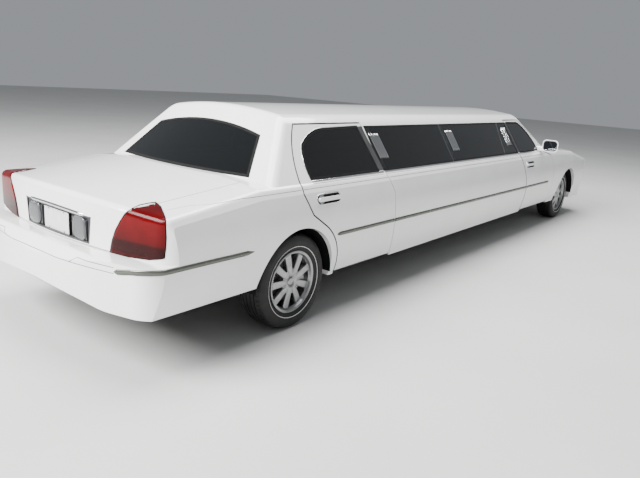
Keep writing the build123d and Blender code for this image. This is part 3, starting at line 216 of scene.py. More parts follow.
def red_lens():
    made = material("red_lens", (0.25, 0.002, 0.003), 0.2, Specular_IOR_Level=0.1, Coat_Weight=0.08)
    bands = ramp(
        made,
        height(made, 0.70, 1.0),
        [
            (0.0, (0.05, 0.0002, 0.0006)),
            (0.12, (0.018, 0.0001, 0.0003)),
            (0.30, (0.022, 0.0001, 0.0004)),
            (0.36, (0.07, 0.0003, 0.001)),
            (0.75, (0.13, 0.0005, 0.002)),
            (0.95, (0.05, 0.0002, 0.0006)),
        ],
    )
    patches = ramp(made, noise(made, 9.0, 2.0), [(0.3, (0.75,)), (0.7, (1.0,))])
    drive(made, "Base Color", multiplied(made, bands, patches))
    bump(made, waves(made, 34.0, "Y"), 0.08, 0.0006)
    return made


def amber_lens():
    made = material("amber_lens", (0.7, 0.2, 0.01), 0.12, Coat_Weight=1.0, Coat_Roughness=0.03)
    bump(made, waves(made, 60.0, "Z"), 0.3, 0.001)
    return made


def clear_lens():
    made = material("clear_lens", (0.9, 0.92, 0.94), 0.03, Transmission_Weight=0.9, IOR=1.25)
    grained(made, 60.0, 0.05, 0.001, detail=1.0, stretch=(1, 3, 0.2))
    return made


def ribbed_lens():
    made = material(
        "ribbed_lens", (0.09, 0.095, 0.1), 0.1, Transmission_Weight=0.2, IOR=1.45, Coat_Weight=0.5
    )
    bump(made, waves(made, 90.0, "Y"), 0.6, 0.0015)
    return made


def reflector():
    made = material(
        "reflector", (0.2, 0.21, 0.22), 0.12, Metallic=0.7, Coat_Weight=1.0, Coat_Roughness=0.02
    )
    bump(made, waves(made, 22.0, "Y"), 0.35, 0.003)
    return made


def dark_steel():
    made = material("dark_steel", (0.05, 0.05, 0.052), 0.55, Metallic=0.3)
    mottled(made, 18.0, (0.035, 0.034, 0.033), (0.075, 0.068, 0.06))
    grained(made, 250.0, 0.12, 0.0006)
    return made


def cast_iron():
    made = material("cast_iron", (0.13, 0.125, 0.12), 0.62, Metallic=0.6)
    mottled(made, 25.0, (0.09, 0.085, 0.08), (0.18, 0.165, 0.15))
    grained(made, 350.0, 0.25, 0.0008)
    return made


def pipe_steel():
    made = material("pipe_steel", (0.35, 0.33, 0.31), 0.38, Metallic=0.9)
    mottled(made, 9.0, (0.24, 0.2, 0.17), (0.42, 0.4, 0.38), high=0.7)
    uneven(made, 30.0, 0.28, 0.5, stretch=(0.2, 4, 4))
    return made


def leather():
    made = material("leather", (0.075, 0.07, 0.068), 0.45, Coat_Weight=0.1)
    mottled(made, 8.0, (0.055, 0.052, 0.05), (0.1, 0.095, 0.09))
    grained(made, 420.0, 0.3, 0.0006, detail=3.0)
    return made


def plastic():
    made = material("plastic", (0.03, 0.03, 0.032), 0.5)
    mottled(made, 12.0, (0.022, 0.022, 0.024), (0.042, 0.042, 0.045))
    grained(made, 700.0, 0.2, 0.0003, detail=2.0)
    return made


def wood():
    made = material("wood", (0.16, 0.07, 0.035), 0.25, Coat_Weight=0.8)
    grain = {"detail": 6.0, "stretch": (0.35, 6, 6)}
    mottled(made, 14.0, (0.07, 0.025, 0.012), (0.22, 0.09, 0.04), high=0.7, **grain)
    return made


def alloy():
    made = material("alloy", (0.6, 0.6, 0.61), 0.28, Metallic=0.85, Coat_Weight=0.4)
    # Greys far darker than bare alloy: painted shade over the wheels, mottled at random
    mottled(made, 20.0, (0.24, 0.24, 0.245), (0.34, 0.34, 0.345))
    return made


def tyre_rubber_painted_shade():
    made = material("tyre_rubber_painted_shade", (0.02, 0.02, 0.021), 0.68)
    # Near-black mottle, darker than bare rubber: painted shade over the tyres, with tone that wanders at
    # random
    mottled(made, 15.0, (0.004, 0.004, 0.004), (0.012, 0.0115, 0.011), high=0.8)
    grained(made, 500.0, 0.2, 0.0005)
    return made


def seal_rubber():
    made = material("seal_rubber", (0.008, 0.008, 0.008), 0.8, Specular_IOR_Level=0.12)
    mottled(made, 30.0, (0.005, 0.005, 0.005), (0.012, 0.012, 0.012), high=0.8)
    return made


def white_rubber():
    made = material("white_rubber", (0.8, 0.8, 0.78), 0.6)
    mottled(made, 30.0, (0.7, 0.7, 0.68), (0.85, 0.85, 0.83), high=0.8)
    return made


def plate_paint():
    made = material("plate_paint", (0.72, 0.72, 0.74), 0.35, Metallic=0.2)
    mottled(made, 22.0, (0.66, 0.66, 0.68), (0.8, 0.8, 0.82), high=0.8)
    return made


# Finish of each material slot, then the finishes that only the scene uses
FINISHES = {
    "paint": white_paint(),
    "dark_paint": dark_steel(),
    "chrome_trim": chrome(),
    "tinted_glass": dark_glass(),
    "screen_glass": screen_glass(),
    "red_lens": red_lens(),
    "clear_lens": clear_lens(),
    "frame_steel": dark_steel(),
    "engine_iron": cast_iron(),
    "axle_iron": cast_iron(),
    "seat_leather": leather(),
    "trim_plastic": plastic(),
    "cabinet_wood": wood(),
    "brushed_steel": pipe_steel(),
    "alloy": alloy(),
    "tyre": tyre_rubber_painted_shade(),
    "seal_rubber": seal_rubber(),
    "white_rubber": white_rubber(),
    "chrome_painted_dark_reflection": chrome_painted_dark_reflection(),
    "plate_paint": plate_paint(),
    "mirror_glass": mirror_glass(),
    "ribbed_lens": ribbed_lens(),
    "amber_lens": amber_lens(),
    "reflector": reflector(),
}
# Nodes that look different from the rest of their slot
NODE_FINISHES = {"plate_housing": "trim_plastic", "headlamps": "reflector"}


def finish_nodes():
    """Give each CAD node the finish of its material slot, or its own."""
    for row in frame["record"]["subparts"]:
        shape = frame["nodes"][row["node"]]
        shape.data.materials.clear()
        shape.data.materials.append(FINISHES[NODE_FINISHES.get(row["node"], row["material_slot"])])


# Places on the CAD surfaces
TREES = {}
# Steps of the search for the border between two nodes
BORDER_HALVINGS = 9
# Usual distance between the points of a path, and the number of points that is too short for one
POINT_GAP = 0.02
SHORTEST_PATH = 3


def hit(names, start, direction):
    """Nearest of some CAD nodes along a ray: its name, the point and the outward normal, or None."""
    best = None
    way = Vector(direction)
    for name in names:
        if name not in TREES:
            mesh = frame["nodes"][name].data
            corners = [vertex.co.copy() for vertex in mesh.vertices]
            TREES[name] = BVHTree.FromPolygons(corners, [tuple(p.vertices) for p in mesh.polygons])
        point, normal, _, distance = TREES[name].ray_cast(Vector(start), way)
        if point and (best is None or distance < best[0]):
            best = (distance, name, point, normal if normal.dot(way) < 0 else -normal)
    return best and best[1:]


def runs_over(names, ray, steps, reach):
    """Stretches of a laid path as a node and its points with normals, split where the node changes."""

    def under(share):
        start, direction = ray(share)
        found = hit(names, start, direction)
        return found if found and (found[1] - Vector(start)).length < reach else None

    def border(inside, outside, name):
        for _ in range(BORDER_HALVINGS):
            middle = (inside + outside) / 2
            found = under(middle)
            if found and found[0] == name:
                inside = middle
            else:
                outside = middle
        return under(inside)[1:]

    runs = []
    last = None
    for i in range(steps + 1):
        found = under(i / steps)
        name = found and found[0]
        if name != last:
            if last:
                runs[-1][1].append(border((i - 1) / steps, i / steps, last))
            if name:
                first = [border(i / steps, (i - 1) / steps, name)] if i else []
                runs.append((name, first))
        if found:
            runs[-1][1].append(found[1:])
        last = name
    return runs


def along(points, share):
    """Point at a share of the way along a list of points."""
    place_on = share * (len(points) - 1)
    index = min(int(place_on), len(points) - 2)
    return Vector(points[index]).lerp(Vector(points[index + 1]), place_on - index)


def laid(names, points, direction, steps):
    """Path of points with normals, from points moved along a direction onto CAD nodes."""
    found = [hit(names, along(points, i / steps), direction) for i in range(steps + 1)]
    return [one[1:] for one in found if one]


def spaced(loop, gap=POINT_GAP, closed=True):
    """Path with points evenly spaced between its corners; an open one ends a gap before its last corner."""
    points = []
    for (start, normal), (end, after) in zip(loop, loop[1:] + (loop[:1] if closed else [])):
        if points and (start - points[-1][0]).length < gap / 5:
            continue
        count = max(1, round((end - start).length / gap))
        for i in range(count):
            points.append((start.lerp(end, i / count), normal.lerp(after, i / count).normalized()))
    return points


def outlines(node, faces_out):
    """Closed loops of points with normals around the faces of a CAD node that face outwards."""
    mesh = frame["nodes"][node].data
    keys = [tuple(round(c, 5) for c in vertex.co) for vertex in mesh.vertices]
    edges = {}
    for polygon in mesh.polygons:
        if not faces_out(polygon.normal, polygon.center):
            continue
        ring = [keys[i] for i in polygon.vertices]
        for a, b in zip(ring, ring[1:] + ring[:1]):
            if (b, a) in edges:
                del edges[b, a]
            else:
                edges[a, b] = polygon.normal.copy()
    following = {a: (b, normal) for (a, b), normal in edges.items()}
    loops = []
    while following:
        at = next(iter(following))
        loop = []
        while at in following:
            after, normal = following.pop(at)
            loop.append((Vector(at), normal))
            at = after
        loops.append(loop)
    return [spaced(loop) for loop in loops if len(loop) > SHORTEST_PATH]


# Forms: each is a list of vertices and a list of faces
# How deep the foot of a form stands in the surface under it
SINK = 0.002
BEAD_STEPS = 6
# Share of its section that a pointed end keeps
POINTED_END = 0.15
# A film's sloped edge: its share of the way to the middle, and the share of the lift at which it starts
FILM_EDGE = 0.03
FILM_EDGE_LIFT = 0.4
CHANNEL_DEPTH = 0.012


def skin(rings, size, closed_path=False, closed_ring=True):
    """Faces between rings of vertices, which are numbered one ring after another."""
    faces = []
    for i in range(rings if closed_path else rings - 1):
        j = (i + 1) % rings
        for k in range(size if closed_ring else size - 1):
            m = (k + 1) % size
            faces.append((i * size + k, i * size + m, j * size + m, j * size + k))
    return faces


def caps(rings, size):
    """Faces over the first and the last ring."""
    return [tuple(range(size)), tuple((rings - 1) * size + k for k in range(size))]


def sweep(path, section, closed=False, taper=0.0):
    """Section of across and out values carried along a path; taper is the length of its pointed ends."""
    vertices = []
    count = len(path)
    lengths = [0.0]
    for (a, _), (b, _) in zip(path, path[1:]):
        lengths.append(lengths[-1] + (b - a).length)
    for i, (point, normal) in enumerate(path):
        ahead = path[(i + 1) % count][0] if closed or i < count - 1 else point
        behind = path[i - 1][0] if closed or i else point
        run = (ahead - behind).normalized()
        side = run.cross(normal).normalized()
        out = side.cross(run)
        scale = 1.0
        if taper:
            from_end = min(lengths[i], lengths[-1] - lengths[i])
            scale = max(POINTED_END, sin(min(1.0, from_end / taper) * pi / 2))
        vertices += [point + side * u * scale + out * v * scale for u, v in section]
    faces = skin(count, len(section), closed)
    if not closed:
        faces += caps(count, len(section))
    return vertices, faces


def bead(width, rise, shift=0.0):
    """Half-round section standing on the surface, its foot sunk into it."""
    turns = [pi * i / BEAD_STEPS for i in range(BEAD_STEPS + 1)]
    arc = [(shift + width / 2 * cos(turn), rise * sin(turn)) for turn in turns]
    return arc + [(shift - width / 2, -SINK), (shift + width / 2, -SINK)]


def flat(width, rise, shift=0.0):
    """Flat strip section with chamfered edges."""
    half = width / 2
    edge = min(rise, half) / 2
    return [
        (shift + half, -SINK),
        (shift + half, rise - edge),
        (shift + half - edge, rise),
        (shift - half + edge, rise),
        (shift - half, rise - edge),
        (shift - half, -SINK),
    ]


def lathe(profile, centre, axis, segments, closed=True):
    """Profile of out and radius values turned about an axis through a centre."""
    axis = Vector(axis).normalized()
    across = axis.orthogonal().normalized()
    third = axis.cross(across)
    size = len(profile)
    vertices = []
    for i in range(segments):
        turn = 2 * pi * i / segments
        radial = across * cos(turn) + third * sin(turn)
        vertices += [Vector(centre) + axis * out + radial * r for out, r in profile]
    faces = skin(segments, size, closed_path=True, closed_ring=closed)
    if not closed:
        faces += [tuple(i * size + end for i in range(segments)) for end in (0, size - 1)]
    return vertices, faces


def film(outline, at, lift, rings=6):
    """Thin closed shell over a surface; at gives the surface point and outward direction for a place."""
    centre = sum((Vector(p) for p in outline), Vector((0, 0, 0))) / len(outline)
    inner = 1.0 - FILM_EDGE
    shares = [(1.0, -SINK), (1.0, lift * FILM_EDGE_LIFT), (inner, lift)]
    shares += [(inner * (rings - i) / rings, lift) for i in range(1, rings)]
    vertices = []
    for share, offset in shares:
        for p in outline:
            point, outward = at(centre.lerp(Vector(p), share))
            vertices.append(point + outward * offset)
    count = len(outline)
    faces = skin(len(shares), count)
    point, outward = at(centre)
    for offset, ring in ((lift, len(shares) - 1), (-SINK, 0)):
        vertices.append(point + outward * offset)
        hub = len(vertices) - 1
        faces += [(ring * count + i, ring * count + (i + 1) % count, hub) for i in range(count)]
    return vertices, faces


def box_form(low, high):
    """Box between two corners."""
    xs, ys, zs = zip(low, high)
    vertices = [Vector((x, y, z)) for x in xs for y in ys for z in zs]
    faces = [(0, 1, 3, 2), (4, 6, 7, 5), (0, 4, 5, 1), (2, 3, 7, 6), (0, 2, 6, 4), (1, 5, 7, 3)]
    return vertices, faces


def slab(corners, out, thickness):
    """Flat plate from its corners, standing out from them by its thickness."""
    count = len(corners)
    lift = Vector(out).normalized() * thickness
    vertices = [Vector(c) for c in corners] + [Vector(c) + lift for c in corners]
    return vertices, caps(2, count) + skin(2, count)


def rounded_rectangle(width, tall, r, steps=5):
    """Corners of a rectangle with round corners, about its middle."""
    points = []
    for quarter, (sx, sy) in enumerate(((1, 1), (-1, 1), (-1, -1), (1, -1))):
        for i in range(steps + 1):
            turn = pi / 2 * (quarter + i / steps)
            points.append((sx * (width / 2 - r) + r * cos(turn), sy * (tall / 2 - r) + r * sin(turn)))
    return points


def pad_form(low, high, cells, roundness=5.0, channels=0, axis=0):
    """Crowned cushion filling a box, with sewn channels across one axis of its top."""
    middle = [(a + b) / 2 for a, b in zip(low, high)]
    half = [(b - a) / 2 for a, b in zip(low, high)]
    vertices = []
    index = {}
    faces = []

    def corner(key):
        if key in index:
            return index[key]
        p = [2 * k / n - 1 for k, n in zip(key, cells)]
        norm = sum(abs(c) ** roundness for c in p) ** (1 / roundness)
        largest = max(abs(c) for c in p)
        q = [c * largest / norm for c in p]
        if channels and q[2] > 0:
            fold = abs(sin(channels * pi * (p[axis] + 1) / 2)) ** 0.5
            q[2] -= (1 - fold) * CHANNEL_DEPTH / half[2] * (1 - abs(p[1 - axis]) ** 4)
        index[key] = len(vertices)
        vertices.append(Vector([m + h * c for m, h, c in zip(middle, half, q)]))
        return index[key]

    for fixed in range(3):
        u, v = [a for a in range(3) if a != fixed]
        for end in (0, cells[fixed]):
            for i in range(cells[u]):
                for j in range(cells[v]):
                    ring = []
                    for di, dj in ((0, 0), (1, 0), (1, 1), (0, 1)):
                        key = [0, 0, 0]
                        key[fixed], key[u], key[v] = end, i + di, j + dj
                        ring.append(corner(tuple(key)))
                    faces.append(tuple(ring))
    return vertices, faces


# Pieces
BEVEL_SEGMENTS = 3
# Angles in degrees over which an edge stays sharp
SHARP_ANGLE = 35
SOFT_ANGLE = 70
RIM_ANGLE = 28


def piece(name, forms, body, slot, finish=None, replaces=(), smooth=SHARP_ANGLE, bevel=0.0):
    """New object joined from forms, riding on a body, with its own finish or that of its slot."""
    builder = bmesh.new()
    for vertices, faces in forms:
        made = [builder.verts.new(vertex) for vertex in vertices]
        for face in faces:
            builder.faces.new([made[i] for i in face])
    bmesh.ops.recalc_face_normals(builder, faces=builder.faces)
    mesh = bpy.data.meshes.new(name)
    builder.to_mesh(mesh)
    builder.free()
    mesh.shade_smooth()
    mesh.set_sharp_from_angle(angle=radians(smooth))
    mesh.materials.append(FINISHES[finish or slot])
    shape = bpy.data.objects.new(name, mesh)
    COLLECTION.objects.link(shape)
    if bevel:
        edge = shape.modifiers.new("edge", "BEVEL")
        edge.width = bevel
        edge.segments = BEVEL_SEGMENTS
        edge.limit_method = "ANGLE"
    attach(shape, body)
    if replaces:
        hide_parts(*replaces)
    return shape


def edge_trim(name, node, faces_out, section, slot, finish=None, shortest=0.0):
    """Section carried around the edges of a CAD node's outward faces."""
    loops = [loop for loop in outlines(node, faces_out) if len(loop) * POINT_GAP > shortest]
    piece(name, [sweep(loop, section, closed=True) for loop in loops], BODY_OF[node], slot, finish)


# Trim on the body's sides: points are x from the rear axle and height
FLANK_NODES = {
    side: ["quarter_panels", f"door_rear_{side}", "side_panels", f"door_front_{side}", "front_fenders"]
    for side, _ in SIDES
}
WHEEL_CENTRES = {
    (end, side): sum(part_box(f"rim_{end}_{side}"), Vector((0, 0, 0))) / 2
    for end in ENDS
    for side, _ in SIDES
}
REAR_AXLE_X = WHEEL_CENTRES["rear", "left"].x
# Thin dark line along the belt crease, x from the rear axle and height: painted shade of the crease
CREASE_SHADE_LINE = [(-1.04, 0.980), (-0.877, 0.9953), (-0.555, 1.0117), (-0.02, 1.0111), (4.90, 1.010)]
SIDE_STRIPS = [
    # name, points, width, rise, slot and finish
    # The side moulding's chrome is painted dark: a painted reflection of dark surroundings
    ("side_moulding", [(0.402, 0.650), (5.18, 0.636)], 0.032, 0.007, "chrome_trim", "chrome_painted_dark_reflection"),
    ("sill_strip", [(0.158, 1.0515), (4.80, 1.0515)], 0.019, 0.006, "chrome_trim", None),
    ("sill_seal", [(0.158, 1.0385), (4.80, 1.0385)], 0.005, 0.0008, "trim_plastic", None),
    # Painted shade: a thin dark strip in place of the belt crease's shadow
    ("crease_shade_line", CREASE_SHADE_LINE, 0.0035, 0.0005, "trim_plastic", None),
]
# Rays toward a flank start here, and what they meet further in than the reach isn't the flank
OUTSIDE_Y = 1.2
FLANK_REACH = 0.45


def side_strip(side, sign, name, points, width, rise, slot, finish):
    """Strip along one flank, split at the door gaps, with pointed ends."""
    outward = Vector((0, sign, 0))
    corners = [(Vector((REAR_AXLE_X + x, sign * OUTSIDE_Y, z)), outward) for x, z in points]
    line = [point for point, _ in spaced(corners, closed=False)]

    def ray(share):
        return along(line, share), -outward

    runs = runs_over(FLANK_NODES[side], ray, len(line), FLANK_REACH)
    for i, (node, path) in enumerate(runs):
        if len(path) < SHORTEST_PATH:
            continue
        taper = width if i in (0, len(runs) - 1) else 0.0
        form = sweep(path, bead(width, rise), taper=taper)
        piece(f"{name}_{i}_{side}", [form], BODY_OF[node], slot, finish)


def make_side_trim():
    """Mouldings along the doors, strips and seals under the windows, and a thin dark line below them painted
    as the shade of the belt crease.
    """
    for side, sign in SIDES:
        for row in SIDE_STRIPS:
            side_strip(side, sign, *row)


# A door's skin faces outwards this much, inside the mirror, and its edge is longer than any other
DOOR_FACING = 0.25
DOOR_SKIN_Y = 1.0
DOOR_EDGE_LENGTH = 2.0
DOOR_LIP = flat(0.006, 0.0006, shift=-0.001)


def make_door_seals():
    """Dark lips along the edges of each door."""
    for side, sign in SIDES:

        def outer(normal, centre):
            return normal.y * sign > DOOR_FACING and abs(centre.y) < DOOR_SKIN_Y

        for end in ENDS:
            name, node = f"edge_seal_{end}_{side}", f"door_{end}_{side}"
            edge_trim(name, node, outer, DOOR_LIP, "trim_plastic", "seal_rubber", DOOR_EDGE_LENGTH)


# Windows
PANE_FACING = 0.6
SCREEN_FACING = 0.25
DOOR_PANE_SEAL = flat(0.024, 0.0012, shift=-0.009)
DOOR_PANE_BEAD = bead(0.007, 0.004, shift=0.003)
SIDE_PANE_SEAL = flat(0.018, 0.0012, shift=-0.009)
SCREEN_SEAL = flat(0.028, 0.0015, shift=-0.012)


def make_window_trim():
    """Black seals around each pane and a chrome bead around the door windows."""
    for side, sign in SIDES:

        def outer(normal, centre):
            return normal.y * sign > PANE_FACING

        for end in ENDS:
            node = f"door_glass_{end}_{side}"
            edge_trim(f"seal_{node}", node, outer, DOOR_PANE_SEAL, "trim_plastic", "seal_rubber")
            edge_trim(f"bead_{node}", node, outer, DOOR_PANE_BEAD, "chrome_trim")
        name = f"seal_side_glass_{side}"
        edge_trim(name, "side_glass", outer, SIDE_PANE_SEAL, "trim_plastic", "seal_rubber")
    for node, ahead in (("rear_window", -1), ("windshield", 1)):

        def upper(normal, centre):
            return normal.x * ahead > SCREEN_FACING and normal.z > 0

        edge_trim(f"seal_{node}", node, upper, SCREEN_SEAL, "trim_plastic", "seal_rubber")


PILLAR_Z = (1.066, 1.400)
PILLAR_ROWS = 14
PILLAR_SPAN = {"rear": (0.9, 1.6), "front": (3.9, 4.6)}
PILLAR_STEPS = 140
PILLAR_REACH = 0.7
# A stretch of a door narrower than this is its pillar, whose face lies this close to its widest point
PILLAR_WIDTH = 0.2
PILLAR_FACE_DEPTH = 0.004
PILLAR_RISE = 0.002
PILLAR_SINK = 0.001


def pillar_edges(end, side, sign, z):
    """Both edges of a door's pillar at a height, and its outward direction, or nothing."""
    door = f"door_{end}_{side}"
    names = [door, f"door_glass_{end}_{side}", "side_glass", "side_panels"]
    start, stop = (REAR_AXLE_X + x for x in PILLAR_SPAN[end])

    def ray(share):
        return (start + share * (stop - start), sign * OUTSIDE_Y, z), (0, -sign, 0)

    for name, path in runs_over(names, ray, PILLAR_STEPS, PILLAR_REACH)[1:-1]:
        if name == door and (path[-1][0] - path[0][0]).length < PILLAR_WIDTH:
            widest = max(abs(point.y) for point, _ in path)
            face = [normal for point, normal in path if abs(point.y) > widest - PILLAR_FACE_DEPTH]
            rear, front = (Vector((path[k][0].x, sign * widest, z)) for k in (0, -1))
            return rear, front, face[0]
    return None


def make_pillars():
    """Black covers on the doors' frames beside the side glass."""
    low, high = PILLAR_Z
    heights = [low + (high - low) * i / PILLAR_ROWS for i in range(PILLAR_ROWS + 1)]
    for side, sign in SIDES:
        for end in ENDS:
            rows = [pillar_edges(end, side, sign, z) for z in heights]
            vertices = []
            for rear, front, outward in filter(None, rows):
                rise = outward * PILLAR_RISE
                sink = outward * PILLAR_SINK
                vertices += [rear + rise, front + rise, front - sink, rear - sink]
            count = len(vertices) // 4
            cover = (vertices, caps(count, 4) + skin(count, 4))
            piece(f"pillar_cover_{end}_{side}", [cover], BODY_OF[f"door_{end}_{side}"], "trim_plastic")


LOUVRES = [
    # x from the rear axle at the top and at the bottom, each as rear and front edge
    ((1.117, 1.262), (1.137, 1.280)),
    ((2.487, 2.640), (2.482, 2.635)),
    ((3.915, 4.065), (3.884, 4.034)),
]
LOUVRE_Z = (1.346, 1.148)
LOUVRE_RIBS = 5
LOUVRE_STEPS = 14
LOUVRE_RIB = bead(0.012, 0.007)
LOUVRE_TAPER = 0.02
PANE_JOINTS = [
    # x from the rear axle and height, top and bottom
    ((2.408, 1.400), (2.392, 1.060)),
    ((3.862, 1.400), (3.712, 1.060)),
]
PANE_JOINT_STEPS = 12
GLASS_STRIP_RISE = 0.0015
PANE_JOINT = flat(0.012, GLASS_STRIP_RISE)


def strips_on_glass(lines, sign, steps, section, taper=0.0):
    """Strips on the side glass, along lines of x from the rear axle and height."""
    forms = []
    for line in lines:
        points = [(REAR_AXLE_X + x, sign * OUTSIDE_Y, z) for x, z in line]
        path = laid(["side_glass"], points, (0, -sign, 0), steps)
        if len(path) > SHORTEST_PATH:
            forms.append(sweep(path, section, taper=taper))
    return forms


def make_louvres():
    """Chrome louvres over the pillars behind the glass, and the dark joints between the panes."""
    for side, sign in SIDES:
        for number, spans in enumerate(LOUVRES):

            def line(share):
                return [(rear + share * (front - rear), z) for (rear, front), z in zip(spans, LOUVRE_Z)]

            lines = [line((rib + 0.5) / LOUVRE_RIBS) for rib in range(LOUVRE_RIBS)]
            ribs = strips_on_glass(lines, sign, LOUVRE_STEPS, LOUVRE_RIB, LOUVRE_TAPER)
            piece(f"louvre_{number}_{side}", ribs, "root", "chrome_trim")
            rear, front = spans[0]
            section = flat(front - rear, GLASS_STRIP_RISE)
            backing = strips_on_glass([line(0.5)], sign, LOUVRE_STEPS, section)
            piece(f"louvre_backing_{number}_{side}", backing, "root", "trim_plastic", "seal_rubber")
        joints = strips_on_glass(PANE_JOINTS, sign, PANE_JOINT_STEPS, PANE_JOINT)
        piece(f"pane_joints_{side}", joints, "root", "trim_plastic")


# Lamps, plate and bumper trim at the tail
BEHIND_X = -4.4
BUMPER_STRIP = [
    # x, y and height of the strip's middle line, for the right side; y is mirrored for the left
    (-4.30, 0.735, 0.652),
    (-4.30, 0.80, 0.657),
    (-4.28, 0.87, 0.664),
    (-4.25, 0.93, 0.671),
    (-4.19, 1.00, 0.676),
    (-4.12, 1.04, 0.679),
    (-4.03, 1.07, 0.680),
    (-3.80, 1.10, 0.679),
    (-3.34, 1.10, 0.675),
]
BUMPER_STRIP_STEPS = 60
BUMPER_BEAD = bead(0.032, 0.007)
BUMPER_TAPER = 0.03
BUMPER_CORNER = (-3.98, 0.74)
# Seams beside the plate, in y and height, with both ends of the step that joins them
SEAM_FOOT = (0.385, 0.638)
SEAM_HEAD = (0.44, 0.673)
SEAMS = [
    [SEAM_HEAD, (0.60, 0.675), (0.735, 0.676)],
    [SEAM_FOOT, (0.60, 0.6405), (0.735, 0.642)],
    [SEAM_FOOT, SEAM_HEAD],
]
SEAM_STEPS = 12
MIDDLE_SEAM_STEPS = 30
SEAM_SECTION = flat(0.004, 0.0006)


def toward_corner(point, sign):
    """Level direction from a point outside the tail to the middle of the bumper's corner."""
    x, y, z = point
    if x > BUMPER_CORNER[0]:
        return (0, -sign, 0)
    if y < BUMPER_CORNER[1]:
        return (1, 0, 0)
    return (BUMPER_CORNER[0] - x, sign * (BUMPER_CORNER[1] - y), 0)


def around_tail(points, sign, steps):
    """Path laid on the rear bumper from points outside it."""
    path = []
    for i in range(steps + 1):
        x, y, z = along(points, i / steps)
        found = hit(["rear_bumper"], (x, sign * y, z), toward_corner((x, y, z), sign))
        if found:
            path.append(found[1:])
    return path


def make_tail_trim():
    """Strips around the bumper's corners, and its seams."""
    for side, sign in SIDES:
        path = around_tail(BUMPER_STRIP, sign, BUMPER_STRIP_STEPS)
        strip = sweep(path, BUMPER_BEAD, taper=BUMPER_TAPER)
        # The strip's chrome is painted dark: a painted reflection of dark surroundings
        piece(f"bumper_strip_{side}", [strip], "root", "chrome_trim", "chrome_painted_dark_reflection")
        forms = []
        for seam in SEAMS:
            path = around_tail([(BEHIND_X, y, z) for y, z in seam], sign, SEAM_STEPS)
            forms.append(sweep(path, SEAM_SECTION))
        piece(f"bumper_seams_{side}", forms, "root", "trim_plastic")
    y, z = SEAM_FOOT
    path = laid(["rear_bumper"], [(BEHIND_X, -y, z), (BEHIND_X, y, z)], (1, 0, 0), MIDDLE_SEAM_STEPS)
    piece("bumper_seam_middle", [sweep(path, SEAM_SECTION)], "root", "trim_plastic")


LAMP_OUTLINE = [
    # x, y and height of the lens's edge, for the right side; y is mirrored for the left
    (-4.0686, 0.5433, 0.7030),
    (-4.0676, 0.5648, 0.7767),
    (-4.0633, 0.5922, 0.8398),
    (-4.0545, 0.6258, 0.8991),
    (-4.0495, 0.6745, 0.9505),
    (-4.0168, 0.6868, 0.9784),
    (-3.9536, 0.6728, 0.9896),
    (-3.9004, 0.6796, 0.9951),
    (-3.8634, 0.6940, 0.9981),
    (-3.8833, 0.7632, 0.9895),
    (-3.9429, 0.8724, 0.9713),
    (-3.9848, 0.9421, 0.9263),
    (-3.9830, 0.9451, 0.8621),
    (-3.9848, 0.9423, 0.7967),
    (-3.9880, 0.9370, 0.7435),
    (-4.0181, 0.8390, 0.7177),
    (-4.0471, 0.6922, 0.7050),
]
LENS_POINT_GAP = 0.012
# Lenses are laid on the body by rays toward this core, which start this far outside them
LAMP_CORE = (-3.75, 0.50, 0.75)
LAMP_BODY_NODES = ["tail_lamps", "quarter_panels"]
LAMP_REACH = 0.2
LENS_LIFT = 0.006
LENS_RINGS = 16
LENS_RIM = bead(0.009, 0.0045)


def make_lamp_housings():
    """Painted copy of the CAD lamps, under the lenses."""
    housing = bpy.data.objects.new("lamp_housings", frame["nodes"]["tail_lamps"].data.copy())
    housing.data.materials.clear()
    housing.data.materials.append(FINISHES["paint"])
    COLLECTION.objects.link(housing)
    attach(housing, "root")
    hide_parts("tail_lamps")


def make_tail_lamps():
    """Red lenses wrapped round the tail's corners, in black rims, on painted housings."""
    make_lamp_housings()
    for side, sign in SIDES:
        core = Vector((LAMP_CORE[0], sign * LAMP_CORE[1], LAMP_CORE[2]))

        def at(place_on):
            outward = (place_on - core).normalized()
            found = hit(LAMP_BODY_NODES, place_on + outward * LAMP_REACH, -outward)
            near = found and (found[1] - place_on).length < LAMP_REACH
            return (found[1] if near else place_on), outward

        corners = [(Vector((x, sign * y, z)), Vector((-1, 0, 0))) for x, y, z in LAMP_OUTLINE]
        outline = [point for point, _ in spaced(corners, LENS_POINT_GAP)]
        lens = film(outline, at, LENS_LIFT, LENS_RINGS)
        piece(f"tail_lens_{side}", [lens], "root", "red_lens", replaces=["tail_lamps"])
        rim = sweep([at(point) for point in outline], LENS_RIM, closed=True)
        piece(f"tail_lens_rim_{side}", [rim], "root", "trim_plastic", "seal_rubber")


PLATE = {"width": 0.3048, "height": 0.1524, "z": 0.79, "thickness": 0.0015, "corner": 0.012}
# The housing's floor lies this far behind its edge, and the plate's holes this far from its middle
PLATE_RECESS = 0.0145
PLATE_HOLES = (0.0889, 0.060325)
SCREW_HEAD = [(0, 0.007), (0.002, 0.0065), (0.0035, 0.004)]
SCREW_SEGMENTS = 12
PLATE_RIM = bead(0.014, 0.006)
LAMP_COVER = {"y": (0.190, 0.338), "z": (0.722, 0.868), "depth": 0.016, "roundness": 3.2}
LAMP_COVER_CELLS = (4, 14, 14)
PLATE_BAR = {"half_width": 0.388, "below_top": 0.004, "bow": 0.012, "taper": 0.02, "steps": 24}
PLATE_BAR_BEAD = bead(0.022, 0.009)


